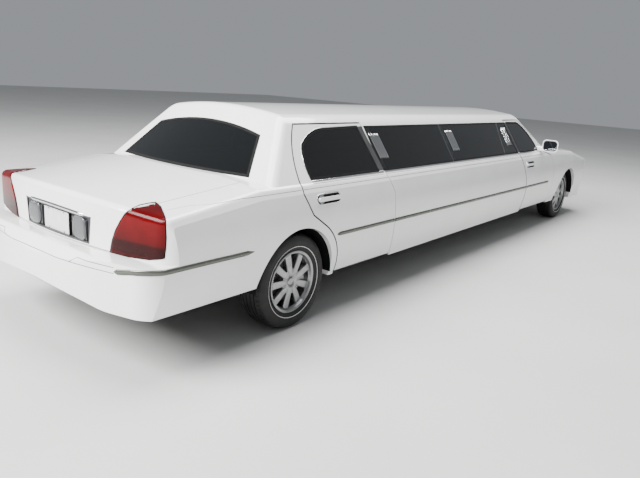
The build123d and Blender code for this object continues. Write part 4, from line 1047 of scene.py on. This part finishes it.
def make_plate():
    """Blank plate between two ribbed reversing lamps, under an arched chrome bar."""
    housing_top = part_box("plate_housing")[1]
    floor_x = housing_top.x - PLATE_RECESS
    outline = rounded_rectangle(PLATE["width"], PLATE["height"], PLATE["corner"])
    corners = [(floor_x, y, PLATE["z"] + z) for y, z in outline]
    rim = sweep([(Vector(c), Vector((-1, 0, 0))) for c in corners], PLATE_RIM, closed=True)
    piece("plate", [slab(corners, (-1, 0, 0), PLATE["thickness"])], "trunk_lid", "alloy", "plate_paint")
    piece("plate_frame", [rim], "trunk_lid", "trim_plastic", "seal_rubber")
    screws = []
    for y in (-PLATE_HOLES[0], PLATE_HOLES[0]):
        for z in (-PLATE_HOLES[1], PLATE_HOLES[1]):
            foot = (floor_x - PLATE["thickness"], y, PLATE["z"] + z)
            screws.append(lathe(SCREW_HEAD, foot, (-1, 0, 0), SCREW_SEGMENTS, closed=False))
    piece("plate_screws", screws, "trunk_lid", "chrome_trim")
    depth = LAMP_COVER["depth"]
    z0, z1 = LAMP_COVER["z"]
    for side, sign in SIDES:
        y0, y1 = sorted(sign * y for y in LAMP_COVER["y"])
        low, high = (floor_x - depth, y0, z0), (floor_x + depth, y1, z1)
        cover = pad_form(low, high, LAMP_COVER_CELLS, LAMP_COVER["roundness"])
        piece(f"reversing_lamp_{side}", [cover], "trunk_lid", "clear_lens", "ribbed_lens", smooth=SOFT_ANGLE)
    half = PLATE_BAR["half_width"]
    bar = []
    for i in range(PLATE_BAR["steps"] + 1):
        y = half * (2 * i / PLATE_BAR["steps"] - 1)
        z = housing_top.z - PLATE_BAR["below_top"] + PLATE_BAR["bow"] * (1 - (y / half) ** 2)
        found = hit(["trunk_lid"], (BEHIND_X, y, z), (1, 0, 0))
        if found:
            bar.append(found[1:])
    form = sweep(bar, PLATE_BAR_BEAD, taper=PLATE_BAR["taper"])
    piece("plate_bar", [form], "trunk_lid", "chrome_trim")


# Handles and mirrors
HANDLES = [
    # end of the cabin, x from the rear axle and height
    ("rear", 0.299, 0.930),
    ("front", 4.398, 0.912),
]
HANDLE_POCKET = (0.272, 0.074)
HANDLE_POCKET_LIFT = 0.0015
HANDLE_RIM = bead(0.008, 0.004)
HANDLE_BAR = (0.258, 0.036)
HANDLE_LOCK = {"back": 0.088, "size": 0.066, "lift": 0.005}
# Round forms are rectangles with eight steps a corner and sides this long
ROUND_STEPS = 8
ROUND_FLAT = 0.002


def make_handles():
    """Oval dark pockets behind the handles, with a bright rim and a round lock plate at the rear end."""
    bar = HANDLE_BAR[1] / 2
    for side, sign in SIDES:
        for end, x, z in HANDLES:
            node = f"door_{end}_{side}"
            middle = Vector((REAR_AXLE_X + x, sign * OUTSIDE_Y, z))

            def on_door(u, v):
                return hit([node], middle + Vector((u, 0, v)), (0, -sign, 0))[1:]

            def at(place_on):
                u, _, v = place_on
                if abs(v) >= bar or abs(u) >= HANDLE_BAR[0] / 2:
                    return on_door(u, v)
                (under, below), (over, above) = on_door(u, -bar), on_door(u, bar)
                share = (v + bar) / (2 * bar)
                return under.lerp(over, share), below.lerp(above, share).normalized()

            width, tall = HANDLE_POCKET
            pocket = rounded_rectangle(width, tall, (tall - ROUND_FLAT) / 2, ROUND_STEPS)
            outline = [(u, 0, v) for u, v in pocket]
            body = BODY_OF[node]
            dark = film(outline, at, HANDLE_POCKET_LIFT)
            piece(f"handle_pocket_{end}_{side}", [dark], body, "trim_plastic", "seal_rubber")
            rim = sweep([at(place_on) for place_on in outline], HANDLE_RIM, closed=True)
            piece(f"handle_rim_{end}_{side}", [rim], body, "chrome_trim")
            size = HANDLE_LOCK["size"]
            disc = rounded_rectangle(size, size, (size - ROUND_FLAT) / 2, ROUND_STEPS)
            lock = film([(u - HANDLE_LOCK["back"], 0, v) for u, v in disc], at, HANDLE_LOCK["lift"])
            piece(f"handle_lock_{end}_{side}", [lock], body, "chrome_trim")


# Mirrors: where a ray forward starts to meet their rear face, and the glass
MIRROR_RAY = (1.5, 1.06, 1.135)
MIRROR = {"width": 0.165, "height": 0.12, "corner": 0.035, "thickness": 0.002}
MIRROR_BEZEL = bead(0.012, 0.005)


def make_mirrors():
    """Glass and its dark bezel on the rear face of each door mirror."""
    outline = rounded_rectangle(MIRROR["width"], MIRROR["height"], MIRROR["corner"])
    for side, sign in SIDES:
        node = f"door_front_{side}"
        x, y, z = MIRROR_RAY
        x = hit([node], (x, sign * y, z), (1, 0, 0))[1].x
        corners = [(x, sign * y + u, z + v) for u, v in outline]
        glass = slab(corners, (-1, 0, 0), MIRROR["thickness"])
        bezel = sweep([(Vector(c), Vector((-1, 0, 0))) for c in corners], MIRROR_BEZEL, closed=True)
        piece(f"mirror_glass_{side}", [glass], BODY_OF[node], "tinted_glass", "mirror_glass")
        piece(f"mirror_bezel_{side}", [bezel], BODY_OF[node], "trim_plastic")


# Wheels
SPOKES = 9
# Slots between the spokes: radius and width at both ends
SLOT_ROWS = (0.092, 0.198)
SLOT_WIDTHS = (0.016, 0.080)
SLOT_COLUMNS = 4
SLOT_LEAST_R = 0.06
FACE_PROFILE = [
    # radius, how far out from the wheel's middle plane
    (0.030, 0.0745),
    (0.038, 0.0795),
    (0.060, 0.0825),
    (0.092, 0.0815),
    (0.112, 0.0805),
    (0.135, 0.0790),
    (0.160, 0.0770),
    (0.182, 0.0752),
    (0.198, 0.0745),
    (0.204, 0.0785),
    (0.209, 0.0880),
]
FACE_BACK = 0.052
SPOKE_SECTION = [
    # share of the way across a spoke, height over the face
    (0.00, -0.0055),
    (0.07, 0.0),
    (0.30, 0.0012),
    (0.50, 0.0004),
    (0.70, 0.0012),
    (0.93, 0.0),
]
# Profiles of how far out from the wheel's middle plane, and radius
RIM_LIP = [
    (0.0995, 0.2215), (0.0985, 0.227), (0.094, 0.2288), (0.0905, 0.227), (0.089, 0.218), (0.085, 0.2104),
]
BARREL_INSIDE = [(-0.096, 0.205), (-0.09, 0.1985), (0.07, 0.1985), (0.08, 0.203), (0.095, 0.21)]
BARREL = RIM_LIP + [(-out, r) for out, r in reversed(RIM_LIP)] + BARREL_INSIDE
HUB_CAP = [(0.07, 0.031), (0.0765, 0.031), (0.08, 0.027), (0.0815, 0.02), (0.082, 0.001)]
BRAKE_DISC = [(0.014, 0.088), (0.014, 0.15), (0.016, 0.152), (0.028, 0.152), (0.03, 0.15), (0.03, 0.088)]
WHITE_BAND = [(0.106, 0.2585), (0.1094, 0.2589), (0.1104, 0.2604), (0.1108, 0.2622), (0.107, 0.2625)]
SIDEWALL = [
    (0.089, 0.2106), (0.0905, 0.23), (0.096, 0.237), (0.104, 0.247), (0.1085, 0.258), (0.1112, 0.272),
    (0.1122, 0.288), (0.1112, 0.303), (0.1075, 0.318), (0.101, 0.331), (0.09, 0.341), (0.0745, 0.347),
]
RIM_SEGMENTS = 96
CAP_SEGMENTS = 48
DISC_SEGMENTS = 64
TREAD = {"r": 0.3500, "half_width": 0.0745, "crown": 0.0022}
GROOVES = {"y": (0.052, 0.018, -0.018, -0.052), "width": 0.009, "depth": 0.007, "floor": 0.76}
# Cuts across the tread's shoulders, which start outside a place and above a radius
CUTS = {"pitches": 64, "from_y": 0.058, "from_r": 0.338, "depth": 0.005}
# Share of a pitch, and how much of the cut's depth is there
CUT_PITCH = [(0.0, 0.0), (0.80, 0.0), (0.83, 1.0), (0.97, 1.0)]


def wheel_face(centre, sign):
    """Spoked face of a wheel, with slots cut through between its spokes."""
    sector = 2 * pi / SPOKES
    columns = SLOT_COLUMNS + len(SPOKE_SECTION)
    total = columns * SPOKES
    edge_rise = SPOKE_SECTION[0][1]
    spoke_rises = [edge_rise] + [0.0] * (SLOT_COLUMNS - 1) + [rise for _, rise in SPOKE_SECTION]
    vertices = []
    for back in (False, True):
        for r, out in FACE_PROFILE:
            share = min(1.0, max(0.0, (r - SLOT_ROWS[0]) / (SLOT_ROWS[1] - SLOT_ROWS[0])))
            width = SLOT_WIDTHS[0] + share * (SLOT_WIDTHS[1] - SLOT_WIDTHS[0])
            half = asin(width / 2 / max(r, SLOT_LEAST_R))
            turns = [half * (2 * i / SLOT_COLUMNS - 1) for i in range(SLOT_COLUMNS)]
            turns += [half + across * (sector - 2 * half) for across, _ in SPOKE_SECTION]
            rises = spoke_rises if SLOT_ROWS[0] <= r <= SLOT_ROWS[1] else [0.0] * columns
            for spoke in range(SPOKES):
                for turn, rise in zip(turns, rises):
                    angle = spoke * sector + turn
                    offset = FACE_BACK if back else out + rise
                    vertices.append(centre + Vector((r * cos(angle), sign * offset, r * sin(angle))))
    faces = []

    def at(back, row, column):
        return (back * len(FACE_PROFILE) + row) * total + column % total

    def wall(row, column):
        """Face from front to back along a stretch of a row."""
        ring = ((0, column), (0, column + 1), (1, column + 1), (1, column))
        faces.append(tuple(at(back, row, place_on) for back, place_on in ring))

    for row in range(len(FACE_PROFILE) - 1):
        slotted = FACE_PROFILE[row][0] >= SLOT_ROWS[0] and FACE_PROFILE[row + 1][0] <= SLOT_ROWS[1]
        for column in range(total):
            if slotted and column % columns < SLOT_COLUMNS:
                continue
            ring = ((row, column), (row, column + 1), (row + 1, column + 1), (row + 1, column))
            for back in (0, 1):
                faces.append(tuple(at(back, *corner) for corner in ring))
            # Walls of the slots beside a spoke
            for edge, neighbour in ((column, column - 1), (column + 1, column + 1)):
                if slotted and neighbour % total % columns < SLOT_COLUMNS:
                    ring = ((0, row), (0, row + 1), (1, row + 1), (1, row))
                    faces.append(tuple(at(back, level, edge) for back, level in ring))
    for row, (r, _) in enumerate(FACE_PROFILE):
        for column in range(total):
            if r in SLOT_ROWS and column % columns < SLOT_COLUMNS:
                wall(row, column)
    for row in (0, len(FACE_PROFILE) - 1):
        for column in range(total):
            wall(row, column)
    return vertices, faces


def tyre_form(centre):
    """Tyre with round sidewalls, grooves around its tread and cuts across its shoulders."""
    tread = []
    for y in GROOVES["y"]:
        for side, drop in ((1, 0), (GROOVES["floor"], 1), (-GROOVES["floor"], 1), (-1, 0)):
            r = TREAD["r"] - TREAD["crown"] * (y / TREAD["half_width"]) ** 2 - drop * GROOVES["depth"]
            tread.append((y + side * GROOVES["width"] / 2, r))
    profile = SIDEWALL + tread + [(-out, r) for out, r in reversed(SIDEWALL)]
    vertices = []
    for pitch in range(CUTS["pitches"]):
        for share, cut in CUT_PITCH:
            angle = 2 * pi * (pitch + share) / CUTS["pitches"]
            for out, r in profile:
                shoulder = abs(out) > CUTS["from_y"] and r > CUTS["from_r"]
                radius = r - cut * CUTS["depth"] if shoulder else r
                vertices.append(centre + Vector((radius * cos(angle), out, radius * sin(angle))))
    return vertices, skin(len(CUT_PITCH) * CUTS["pitches"], len(profile), closed_path=True)


def make_wheels():
    """Spoked wheels, tyres with a thin white band, hub caps and brake discs."""
    for end in ENDS:
        for side, sign in SIDES:
            centre = WHEEL_CENTRES[end, side]
            body = f"wheel_{end}_{side}"
            axis = (0, sign, 0)
            wheel = [wheel_face(centre, sign), lathe(BARREL, centre, axis, RIM_SEGMENTS)]
            piece(f"{body}_rim", wheel, body, "alloy", replaces=[f"rim_{end}_{side}"], smooth=RIM_ANGLE)
            cap = lathe(HUB_CAP, centre, axis, CAP_SEGMENTS, closed=False)
            piece(f"{body}_cap", [cap], body, "alloy")
            piece(f"{body}_disc", [lathe(BRAKE_DISC, centre, axis, DISC_SEGMENTS)], body, "axle_iron")
            piece(f"{body}_tyre", [tyre_form(centre)], body, "tyre", replaces=[f"tyre_{end}_{side}"])
            band = lathe(WHITE_BAND, centre, axis, RIM_SEGMENTS)
            piece(f"{body}_white_band", [band], body, "tyre", "white_rubber")


LINER = {"r": 0.4005, "thickness": 0.0015, "y": (0.72, 0.952), "half_turn": 1.57, "steps": 36}


def make_arch_liners():
    """Dark sheets inside the wheel arches."""
    (near, far), outer = LINER["y"], LINER["r"]
    inner = outer - LINER["thickness"]
    section = [(outer, near), (outer, far), (inner, far), (inner, near)]
    steps = LINER["steps"]
    for end in ENDS:
        for side, sign in SIDES:
            middle = WHEEL_CENTRES[end, side]
            vertices = []
            for i in range(steps + 1):
                turn = pi / 2 + LINER["half_turn"] * (2 * i / steps - 1)
                for r, y in section:
                    vertices.append(Vector((middle.x + r * cos(turn), sign * y, middle.z + r * sin(turn))))
            liner = (vertices, caps(steps + 1, 4) + skin(steps + 1, 4))
            piece(f"arch_liner_{end}_{side}", [liner], "root", "trim_plastic", "seal_rubber")


# Front
FRONT_NODES = ["front_bumper", "nose_panel", "front_fenders", "headlamps", "grille"]
# Rays toward the front start here; where they meet nothing before the least x, a place keeps the plain x
AHEAD_X = 4.6
FACE_LEAST_X = 3.9
FACE_PLAIN_X = 4.0
GRILLE_BACKING = {"x": (0.001, 0.004), "side": 0.02, "end": 0.01}
GRILLE_SURROUND = [(0.338, 0.860), (-0.338, 0.860), (-0.306, 0.642), (0.306, 0.642)]
GRILLE_BEAD = bead(0.024, 0.012)
INTAKE = {"width": 1.02, "height": 0.10, "z": 0.42, "corner": 0.03, "lift": 0.0015, "rings": 10}
INTAKE_BARS = {"z": (0.39, 0.42, 0.45), "steps": 30}
INTAKE_BAR = bead(0.008, 0.006)
FOG_LAMP = {"y": 0.66, "z": 0.42, "size": 0.11, "lift": 0.004}
FOG_LAMP_RIM = bead(0.012, 0.007)
BULBS = {"y": (0.52, 0.69), "z": 0.738, "size": 0.105}
BULB_RING = bead(0.010, 0.004)
# Indicator: x from the headlamps' rear end and height
INDICATOR = [(0.02, 0.685), (0.09, 0.685), (0.105, 0.79), (0.02, 0.79)]
INDICATOR_POINT_GAP = 0.01
INDICATOR_LIFT = 0.002
INDICATOR_PLAIN_Y = 0.9
# Wipers: y and how far behind the glass's front edge, at the pivot and at the tip
WIPERS = [((0.62, 0.07), (0.08, 0.10)), ((-0.02, 0.07), (-0.56, 0.10))]
WIPER_BOW = 0.09
WIPER_STEPS = 20
WIPER_BLADE = flat(0.012, 0.014)
WIPER_ARM = bead(0.008, 0.024)
WIPER_ARM_STEPS = slice(5, 16)
ABOVE_Z = 2.0


def on_front(place_on):
    """Point and outward direction on the car's face, seen from straight ahead."""
    found = hit(FRONT_NODES, (AHEAD_X, place_on[1], place_on[2]), (-1, 0, 0))
    if found and found[1].x > FACE_LEAST_X:
        return found[1:]
    return Vector((FACE_PLAIN_X, place_on[1], place_on[2])), Vector((1, 0, 0))


def circle_at(y, z, size):
    """Places of a circle across the car's face."""
    disc = rounded_rectangle(size, size, (size - ROUND_FLAT) / 2, ROUND_STEPS)
    return [(0, y + u, z + v) for u, v in disc]


def make_grille():
    """Grille backing and surround, and the lower intake with its bars."""
    low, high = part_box("grille")
    side, end = GRILLE_BACKING["side"], GRILLE_BACKING["end"]
    x0, x1 = (low.x + x for x in GRILLE_BACKING["x"])
    backing = box_form((x0, low.y + side, low.z + end), (x1, high.y - side, high.z - end))
    piece("grille_backing", [backing], "root", "trim_plastic", "seal_rubber")
    corners = [(Vector((0, y, z)), Vector((1, 0, 0))) for y, z in GRILLE_SURROUND]
    surround = sweep([on_front(point) for point, _ in spaced(corners)], GRILLE_BEAD, closed=True)
    piece("grille_surround", [surround], "root", "chrome_trim")
    opening = rounded_rectangle(INTAKE["width"], INTAKE["height"], INTAKE["corner"])
    outline = [(0, u, INTAKE["z"] + v) for u, v in opening]
    intake = film(outline, on_front, INTAKE["lift"], INTAKE["rings"])
    piece("lower_intake", [intake], "root", "trim_plastic", "seal_rubber")
    half = INTAKE["width"] / 2 - INTAKE["corner"]
    steps = INTAKE_BARS["steps"]
    bars = []
    for z in INTAKE_BARS["z"]:
        path = [on_front((0, half * (2 * i / steps - 1), z)) for i in range(steps + 1)]
        bars.append(sweep(path, INTAKE_BAR))
    piece("intake_bars", bars, "root", "trim_plastic")


def make_front_lamps():
    """Fog lamps, rings around the headlamp bulbs and indicators."""
    rear_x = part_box("headlamps")[0].x
    for side, sign in SIDES:
        fog = circle_at(sign * FOG_LAMP["y"], FOG_LAMP["z"], FOG_LAMP["size"])
        lens = film(fog, on_front, FOG_LAMP["lift"])
        piece(f"fog_lamp_{side}", [lens], "root", "clear_lens", "reflector")
        rim = sweep([on_front(place_on) for place_on in fog], FOG_LAMP_RIM, closed=True)
        piece(f"fog_lamp_rim_{side}", [rim], "root", "chrome_trim")
        rings = []
        for y in BULBS["y"]:
            ring = [on_front(place_on) for place_on in circle_at(sign * y, BULBS["z"], BULBS["size"])]
            rings.append(sweep(ring, BULB_RING, closed=True))
        piece(f"headlamp_rings_{side}", rings, "root", "chrome_trim")

        def at(place_on):
            x, _, z = place_on
            found = hit(["headlamps"], (x, sign * OUTSIDE_Y, z), (0, -sign, 0))
            return found[1:] if found else (Vector((x, sign * INDICATOR_PLAIN_Y, z)), Vector((0, sign, 0)))

        corners = [(Vector((rear_x + x, 0, z)), Vector((0, sign, 0))) for x, z in INDICATOR]
        outline = [point for point, _ in spaced(corners, INDICATOR_POINT_GAP)]
        piece(f"indicator_{side}", [film(outline, at, INDICATOR_LIFT)], "root", "clear_lens", "amber_lens")


def make_wipers():
    """Two wipers lying at the foot of the windshield."""
    glass_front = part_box("windshield")[1].x
    forms = []
    for wiper in WIPERS:
        points = [(glass_front - back - WIPER_BOW * y ** 2, y, ABOVE_Z) for y, back in wiper]
        path = laid(["windshield"], points, (0, 0, -1), WIPER_STEPS)
        forms += [sweep(path, WIPER_BLADE), sweep(path[WIPER_ARM_STEPS], WIPER_ARM)]
    piece("wipers", forms, "root", "trim_plastic", "seal_rubber")


# Seats and cabin
CUSHION_CELL = 0.035
CHANNEL_CELLS = 8
CROWN = 0.004
FRONT_SEAT = {"x": (1.372, 1.858), "y": (0.165, 0.685), "z": (0.372, 0.572)}
SEAT_BACK = {"foot": (1.405, 0.53), "thickness": 0.13, "height": 0.47, "lean": 0.28}
HEADREST = {"foot": (1.262, 0.998), "thickness": 0.085, "height": 0.125, "half_width": 0.13, "lean": 0.2}
SEAT_RAIL = {"inset": 0.06, "x": (0.02, 0.04), "half_width": 0.02, "height": 0.03}
SEAT_POST = {"x": (0.06, 0.12), "half_width": 0.012, "in_cushion": 0.03}
BENCH_CUSHION = 0.13
REAR_BENCH = {"x": (-2.69, -2.045), "half_width": 0.588, "back_foot": -2.735, "lean": 0.2}
REAR_BASE = {"x": (0.03, 0.05, 0.02), "side": 0.02, "panel_top": 0.04}
SIDE_BENCH = {"x": (-1.795, 0.695), "seat_y": (0.333, 0.65), "back_y": (0.632, 0.735)}
SIDE_BENCH_PLACES = 5
CUSHION_SEAM = 0.003
# How far a back goes below the seat, and how far the rear one goes above the CAD bench
BACK_BELOW = {"rear": 0.03, "side": 0.02}
BACK_ABOVE = 0.02
SIDE_BASE = {"y": (0.04, 0.06), "panel_top": 0.03}
SHELF = (-0.01, 0.02)
BASE_BEVEL = 0.004


def moved(form, at, lean=0.0):
    """Form turned about Y by its lean and set at a place."""
    vertices, faces = form
    turn = Matrix.Rotation(-lean, 3, "Y")
    return [turn @ vertex + Vector(at) for vertex in vertices], faces


def cushion(name, node, low, high, at=(0, 0, 0), lean=0.0, channels=0, axis=0):
    """Leather cushion filling a box."""
    cells = [max(4, round((b - a) / CUSHION_CELL)) for a, b in zip(low, high)]
    if channels:
        cells[axis] = channels * CHANNEL_CELLS
    form = moved(pad_form(low, high, cells, channels=channels, axis=axis), at, lean)
    made = piece(name, [form], "root", "seat_leather", replaces=[node], smooth=SOFT_ANGLE)


def make_front_seats(floor_z):
    """Two seats with head rests, on rails and posts."""
    x0, x1 = FRONT_SEAT["x"]
    z0, z1 = FRONT_SEAT["z"]
    frames = []
    for side, sign in SIDES:
        y0, y1 = sorted(sign * y for y in FRONT_SEAT["y"])
        cushion(f"front_seat_cushion_{side}", "front_seats", (x0, y0, z0), (x1, y1, z1), channels=5, axis=1)
        half = SEAT_BACK["thickness"] / 2
        foot = (SEAT_BACK["foot"][0], 0, SEAT_BACK["foot"][1])
        low, high = (-half, y0, 0), (half, y1, SEAT_BACK["height"])
        cushion(f"front_seat_back_{side}", "front_seats", low, high, foot, SEAT_BACK["lean"])
        half = HEADREST["thickness"] / 2
        foot = (HEADREST["foot"][0], (y0 + y1) / 2, HEADREST["foot"][1])
        low, high = (-half, -HEADREST["half_width"], 0), (half, HEADREST["half_width"], HEADREST["height"])
        cushion(f"headrest_{side}", "front_seats", low, high, foot, HEADREST["lean"])
        rail_top = floor_z + SEAT_RAIL["height"]
        post_top = z0 + SEAT_POST["in_cushion"]
        for y in (y0 + SEAT_RAIL["inset"], y1 - SEAT_RAIL["inset"]):
            for spec, bottom, top in ((SEAT_RAIL, floor_z, rail_top), (SEAT_POST, rail_top, post_top)):
                low = (x0 + spec["x"][0], y - spec["half_width"], bottom)
                high = (x1 - spec["x"][1], y + spec["half_width"], top)
                frames.append(box_form(low, high))
    piece("front_seat_frames", frames, "root", "frame_steel", replaces=["front_seats"], bevel=BASE_BEVEL)


def lounge_top(x, y):
    """Height of the CAD benches at a place."""
    return hit(["lounge_seats"], (x, y, ABOVE_Z), (0, 0, -1))[1].z


def make_rear_bench(floor_z):
    """Rear bench's cushions; returns its base's front panel and shelf."""
    x0, x1 = REAR_BENCH["x"]
    half = REAR_BENCH["half_width"]
    top = lounge_top((x0 + x1) / 2, 0)
    under = top - BENCH_CUSHION
    low, high = (x0, -half, under), (x1, half, top + CROWN)
    cushion("rear_bench_cushion", "lounge_seats", low, high, channels=3, axis=1)
    back_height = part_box("lounge_seats")[1].z - top + BACK_ABOVE
    low, high = (-BENCH_CUSHION / 2, -half, 0), (BENCH_CUSHION / 2, half, back_height)
    foot = (REAR_BENCH["back_foot"], 0, top - BACK_BELOW["rear"])
    cushion("rear_bench_back", "lounge_seats", low, high, foot, REAR_BENCH["lean"])
    rear, panel, front = REAR_BASE["x"]
    y = half - REAR_BASE["side"]
    return [
        box_form((x1 - panel, -y, floor_z), (x1 - front, y, under + REAR_BASE["panel_top"])),
        box_form((x0 + rear, -y, under + SHELF[0]), (x1 - panel, y, under + SHELF[1])),
    ]


def make_side_bench(floor_z):
    """Side bench's cushions, one pair a place; returns its base's front panel and shelf."""
    x0, x1 = SIDE_BENCH["x"]
    seat, back = SIDE_BENCH["seat_y"], SIDE_BENCH["back_y"]
    seat_top, back_top = (lounge_top(0, sum(span) / 2) for span in (seat, back))
    under = seat_top - BENCH_CUSHION
    wide = (x1 - x0) / SIDE_BENCH_PLACES
    for number in range(SIDE_BENCH_PLACES):
        near = x0 + number * wide + CUSHION_SEAM
        far = near + wide - 2 * CUSHION_SEAM
        low, high = (near, seat[0], under), (far, seat[1], seat_top + CROWN)
        cushion(f"side_bench_cushion_{number}", "lounge_seats", low, high, channels=4, axis=0)
        low, high = (near, back[0], seat_top - BACK_BELOW["side"]), (far, back[1], back_top)
        cushion(f"side_bench_back_{number}", "lounge_seats", low, high)
    y0, y1 = (seat[0] + y for y in SIDE_BASE["y"])
    return [
        box_form((x0, y0, floor_z), (x1, y1, under + SIDE_BASE["panel_top"])),
        box_form((x0, y1, under + SHELF[0]), (x1, back[1], under + SHELF[1])),
    ]


def make_seats():
    """Cushions of the front seats and the benches, on their frames and bases."""
    floor_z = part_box("front_seats")[0].z
    make_front_seats(floor_z)
    bases = make_rear_bench(floor_z) + make_side_bench(floor_z)
    piece("bench_bases", bases, "root", "trim_plastic", replaces=["lounge_seats"], bevel=BASE_BEVEL)


CABINET_EDGE = bead(0.012, 0.005)
CABINET_FACING = 0.9


def make_cabin_trim():
    """Bright edge around the bar cabinet's top."""

    def upper(normal, centre):
        return normal.z > CABINET_FACING

    edge_trim("cabinet_edge", "bar_cabinet", upper, CABINET_EDGE, "chrome_trim")


# Camera, light and floor
FLOOR_REACH = 40.0
WORLD_COLOR = (0.86, 0.9, 0.95, 1.0)
WORLD_STRENGTH = 0.36
AREA_LIGHTS = {
    "key": {"at": (-12.0, 3.0, 8.5), "aim": (-2.0, 0, 0.8), "size": (7.0, 7.0), "power": 6000.0},
    "fill": {"at": (-4.0, -10.0, 5.0), "aim": (0, 0, 0.5), "size": (10.0, 5.0), "power": 60.0},
    "top": {"at": (1.0, 0.0, 9.0), "aim": (1, 0, 0), "size": (12.0, 5.0), "power": 2000.0},
}


def set_camera():
    """Camera at the photograph's viewpoint, placed and turned by the given constants, which were solved from
    the object's known sizes.
    """
    ahead = Vector(
        (cos(CAMERA_YAW) * cos(CAMERA_PITCH), sin(CAMERA_YAW) * cos(CAMERA_PITCH), sin(CAMERA_PITCH))
    )
    level = Vector((sin(CAMERA_YAW), -cos(CAMERA_YAW), 0.0))
    upright = level.cross(ahead)
    right = level * cos(CAMERA_ROLL) + upright * sin(CAMERA_ROLL)
    up = upright * cos(CAMERA_ROLL) - level * sin(CAMERA_ROLL)
    data = bpy.data.cameras.new("camera")
    data.sensor_width = SENSOR_MM
    data.lens = FOCAL_PX / FRAME_WIDTH_PX * SENSOR_MM
    data.clip_end = CLIP_END
    camera = bpy.data.objects.new("camera", data)
    turn = Matrix((right, up, -ahead)).transposed().to_4x4()
    camera.matrix_world = Matrix.Translation(CAMERA_AT) @ turn
    COLLECTION.objects.link(camera)
    bpy.context.scene.camera = camera


def area_light(name, spec):
    """Soft rectangular light."""
    data = bpy.data.lights.new(name, "AREA")
    data.shape = "RECTANGLE"
    data.size, data.size_y = spec["size"]
    data.energy = spec["power"]
    light = bpy.data.objects.new(name, data)
    light.location = spec["at"]
    light.rotation_euler = (Vector(spec["aim"]) - light.location).to_track_quat("-Z", "Y").to_euler()
    COLLECTION.objects.link(light)


def set_stage():
    """Pale floor, even world light and soft area lights."""
    data = bpy.data.meshes.new("floor")
    corners = [(x * FLOOR_REACH, y * FLOOR_REACH, 0) for x, y in ((-1, -1), (1, -1), (1, 1), (-1, 1))]
    data.from_pydata(corners, [], [(0, 1, 2, 3)])
    floor = bpy.data.objects.new("floor", data)
    COLLECTION.objects.link(floor)
    made = material("floor", (0.62, 0.62, 0.61), 0.8)
    mottled(made, 0.8, (0.5, 0.5, 0.49), (0.54, 0.54, 0.53), high=0.7)
    data.materials.append(made)
    world = bpy.data.worlds.new("world")
    world.use_nodes = True
    background = world.node_tree.nodes["Background"]
    background.inputs["Color"].default_value = WORLD_COLOR
    background.inputs["Strength"].default_value = WORLD_STRENGTH
    bpy.context.scene.world = world
    for name, spec in AREA_LIGHTS.items():
        area_light(name, spec)


finish_nodes()
set_camera()
make_side_trim()
make_door_seals()
make_window_trim()
make_pillars()
make_louvres()
make_tail_trim()
make_tail_lamps()
make_plate()
make_handles()
make_mirrors()
make_wheels()
make_arch_liners()
make_grille()
make_front_lamps()
make_wipers()
make_seats()
make_cabin_trim()
set_stage()
